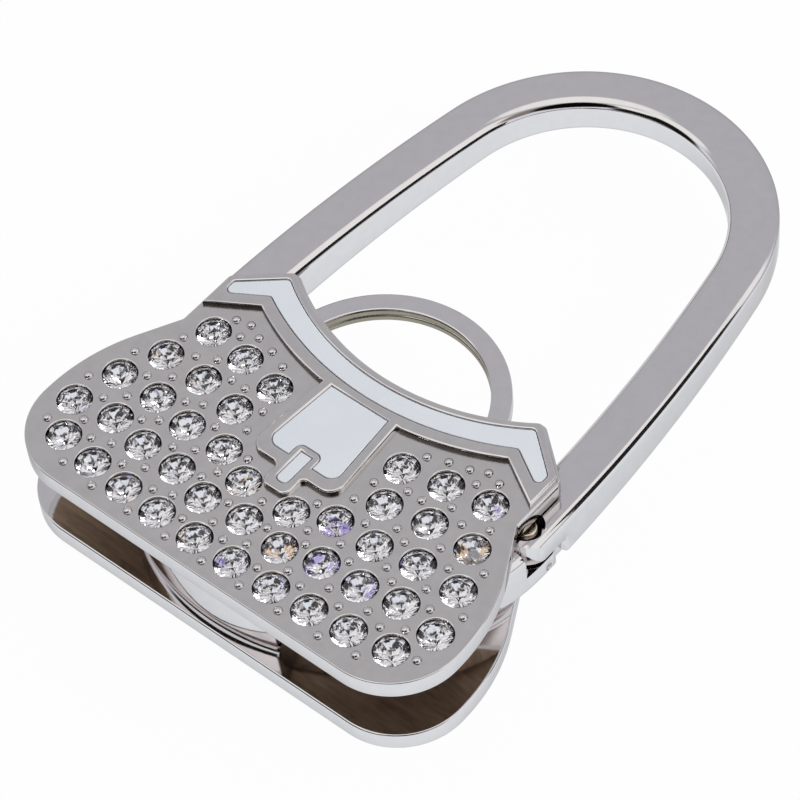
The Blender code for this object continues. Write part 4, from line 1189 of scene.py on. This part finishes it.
class HOOK_OT_stage(Operator):
    """Set the white floor, the studio's reflections, the lamps and the camera"""

    bl_idname = "hook.stage"
    bl_label = "Stage"

    def execute(self, context):
        self.add_floor()
        self.add_flag()
        self.add_surroundings(context)
        self.add_lamps()
        self.add_camera(context)
        context.scene.view_settings.view_transform = "Standard"
        return {"FINISHED"}

    def add_floor(self):
        """White floor that hides nothing from below."""
        shape = bmesh.new()
        bmesh.ops.create_grid(shape, x_segments=1, y_segments=1, size=FLOOR_HALF)
        bmesh.ops.translate(shape, verts=shape.verts, vec=(0, 0, -FLOOR_DROP))
        floor = placed("floor", mesh_from_shape("floor", shape))
        floor.data.materials.append(self.floor_material())

    def floor_material(self):
        """Matt white board: white to the camera, shaded by the hook, greyer in far reflections."""
        material, tree, shader = new_material("white_floor")
        feed(tree, shader, Base_Color=linear("#E4E5E7"), Roughness=0.9, Specular_IOR_Level=0.1)
        rays = node(tree, "ShaderNodeLightPath").outputs
        place = node(tree, "ShaderNodeTexCoord").outputs["Object"]
        place = node(tree, "ShaderNodeSeparateXYZ", Vector=place).outputs
        left = rise(tree, place["X"], -HALF_WIDTH, -HALF_WIDTH - FLOOR_FADE)
        far = rise(tree, place["Y"], SHACKLE_HIGH.y, SHACKLE_HIGH.y + FLOOR_FADE)
        wall = blend(tree, maths(tree, "MAXIMUM", left, far), linear("#F4FBFF"), linear("#BFC0C5"))
        tone = blend(tree, rays["Is Glossy Ray"], linear("#FFFFFF"), wall)
        glow = node(tree, "ShaderNodeEmission", Color=tone, Strength=1.0)
        seen = maths(tree, "MAXIMUM", rays["Is Camera Ray"], rays["Is Glossy Ray"])
        seen = maths(tree, "MAXIMUM", seen, rays["Is Transmission Ray"])
        share = maths(tree, "MULTIPLY", seen, FLOOR_GLOW_SHARE)
        board = node(tree, "ShaderNodeMixShader", Fac=share, _1=shader.outputs[0], _2=glow.outputs[0])
        clear = node(tree, "ShaderNodeBsdfTransparent")
        below = node(tree, "ShaderNodeNewGeometry").outputs["Backfacing"]
        one_sided = node(tree, "ShaderNodeMixShader", Fac=below, _1=board.outputs[0], _2=clear.outputs[0])
        feed(tree, tree.nodes["Material Output"], Surface=one_sided.outputs[0])
        return material

    def add_flag(self):
        """Black flag right of the loop, seen in reflections only."""
        flag = placed("flag", mesh_from_shape("flag", box_shape(FLAG_LOW, FLAG_HIGH)))
        material, tree, shader = new_material("black_flag_felt")
        feed(tree, shader, Base_Color=linear("#191614"), Roughness=0.95)
        flag.data.materials.append(material)
        for rays in ("camera", "diffuse", "shadow", "transmission"):
            setattr(flag, f"visible_{rays}", False)

    def add_surroundings(self, context):
        """White to the camera; in reflections a pale room with light and dark cards."""
        world = bpy.data.worlds.new("studio")
        world.use_nodes = True
        tree = world.node_tree
        tree.nodes.clear()
        place = node(tree, "ShaderNodeTexCoord").outputs["Generated"]
        height = node(tree, "ShaderNodeSeparateXYZ", Vector=place).outputs["Z"]
        ramp = node(tree, "ShaderNodeValToRGB", Fac=height)
        fill_ramp(ramp, [(level, linear(tone)) for level, tone in ROOM_TONES])
        colour = ramp.outputs["Color"]
        for direction, edge, middle, tone in STUDIO_CARDS:
            cover = rise(tree, facing(tree, place, Vector(direction).normalized()),
                         math.cos(edge * DEG), math.cos(middle * DEG), "SMOOTHSTEP")
            colour = blend(tree, cover, colour, linear(tone))
        colour = self.add_horizon(tree, place, height, colour)
        room = node(tree, "ShaderNodeBackground", Color=colour, Strength=1.0)
        white = node(tree, "ShaderNodeBackground", Color=linear("#FFFFFF"), Strength=1.0)
        rays = node(tree, "ShaderNodeLightPath")
        shown = node(tree, "ShaderNodeMixShader", Fac=rays.outputs["Is Camera Ray"],
                     _1=room.outputs[0], _2=white.outputs[0])
        node(tree, "ShaderNodeOutputWorld", Surface=shown.outputs[0])
        context.scene.world = world

    def add_horizon(self, tree, place, height, colour):
        """Thin dark line where the floor ends, on the camera's side only."""
        side = rise(tree, facing(tree, place, HORIZON_SIDE), 0.0, HORIZON_FADE)
        cover = maths(tree, "MULTIPLY", side, rise(tree, height, HORIZON_TOP, HORIZON_FULL))
        return blend(tree, cover, colour, linear("#2B2826"))

    def add_lamps(self):
        """Softboxes that light the hook but stay out of its reflections."""
        for name, direction, distance, size, power in LAMPS:
            light = bpy.data.lights.new(name, "AREA")
            light.size = size
            light.energy = power
            lamp = placed(name, light)
            lamp.visible_glossy = False
            along = Vector(direction).normalized()
            lamp.location = CAMERA_TARGET + along * distance
            lamp.rotation_euler = along.to_track_quat("Z", "Y").to_euler()

    def add_camera(self, context):
        """Camera where the photo's camera stood."""
        back = Vector((math.sin(CAMERA_TURN) * math.cos(CAMERA_RISE),
                       -math.cos(CAMERA_TURN) * math.cos(CAMERA_RISE), math.sin(CAMERA_RISE)))
        data = bpy.data.cameras.new("camera")
        data.lens = CAMERA_LENS
        data.sensor_width = CAMERA_SENSOR
        data.clip_start = CAMERA_CLIP_START
        camera = placed("camera", data)
        camera.location = CAMERA_TARGET + back * CAMERA_DISTANCE
        aim = (-back).to_track_quat("-Z", "Y").to_matrix() @ Matrix.Rotation(CAMERA_ROLL, 3, "Z")
        camera.rotation_euler = aim.to_euler()
        context.scene.camera = camera


BUILDERS = (
    HOOK_OT_front_shell,
    HOOK_OT_enamel,
    HOOK_OT_stones,
    HOOK_OT_rear_shell,
    HOOK_OT_pad,
    HOOK_OT_shackle,
    HOOK_OT_spacer_arc,
    HOOK_OT_key_ring,
    HOOK_OT_fittings,
    HOOK_OT_stage,
)


class HOOK_PT_panel(Panel):
    """Lists the hook's pieces, sizes and colours"""

    bl_label = "Purse Hook"
    bl_idname = "HOOK_PT_panel"
    bl_space_type = "VIEW_3D"
    bl_region_type = "UI"
    bl_category = "Purse Hook"

    def draw(self, context):
        for builder in BUILDERS:
            self.layout.operator(builder.bl_idname)
        for group in (context.scene.hook_sizes, context.scene.hook_colours):
            for name in group.__annotations__:
                self.layout.prop(group, name)


CLASSES = (HookSizes, HookColours, *BUILDERS, HOOK_PT_panel)


def register():
    for cls in CLASSES:
        bpy.utils.register_class(cls)
    bpy.types.Scene.hook_sizes = PointerProperty(type=HookSizes)
    bpy.types.Scene.hook_colours = PointerProperty(type=HookColours)


def unregister():
    del bpy.types.Scene.hook_colours
    del bpy.types.Scene.hook_sizes
    for cls in reversed(CLASSES):
        bpy.utils.unregister_class(cls)


def main():
    """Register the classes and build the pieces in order."""
    register()
    bpy.ops.hook.front_shell()
    bpy.ops.hook.enamel()
    bpy.ops.hook.stones()
    bpy.ops.hook.rear_shell()
    bpy.ops.hook.pad()
    bpy.ops.hook.shackle()
    bpy.ops.hook.spacer_arc()
    bpy.ops.hook.key_ring()
    bpy.ops.hook.fittings()
    bpy.ops.hook.stage()


if __name__ == "__main__":
    main()
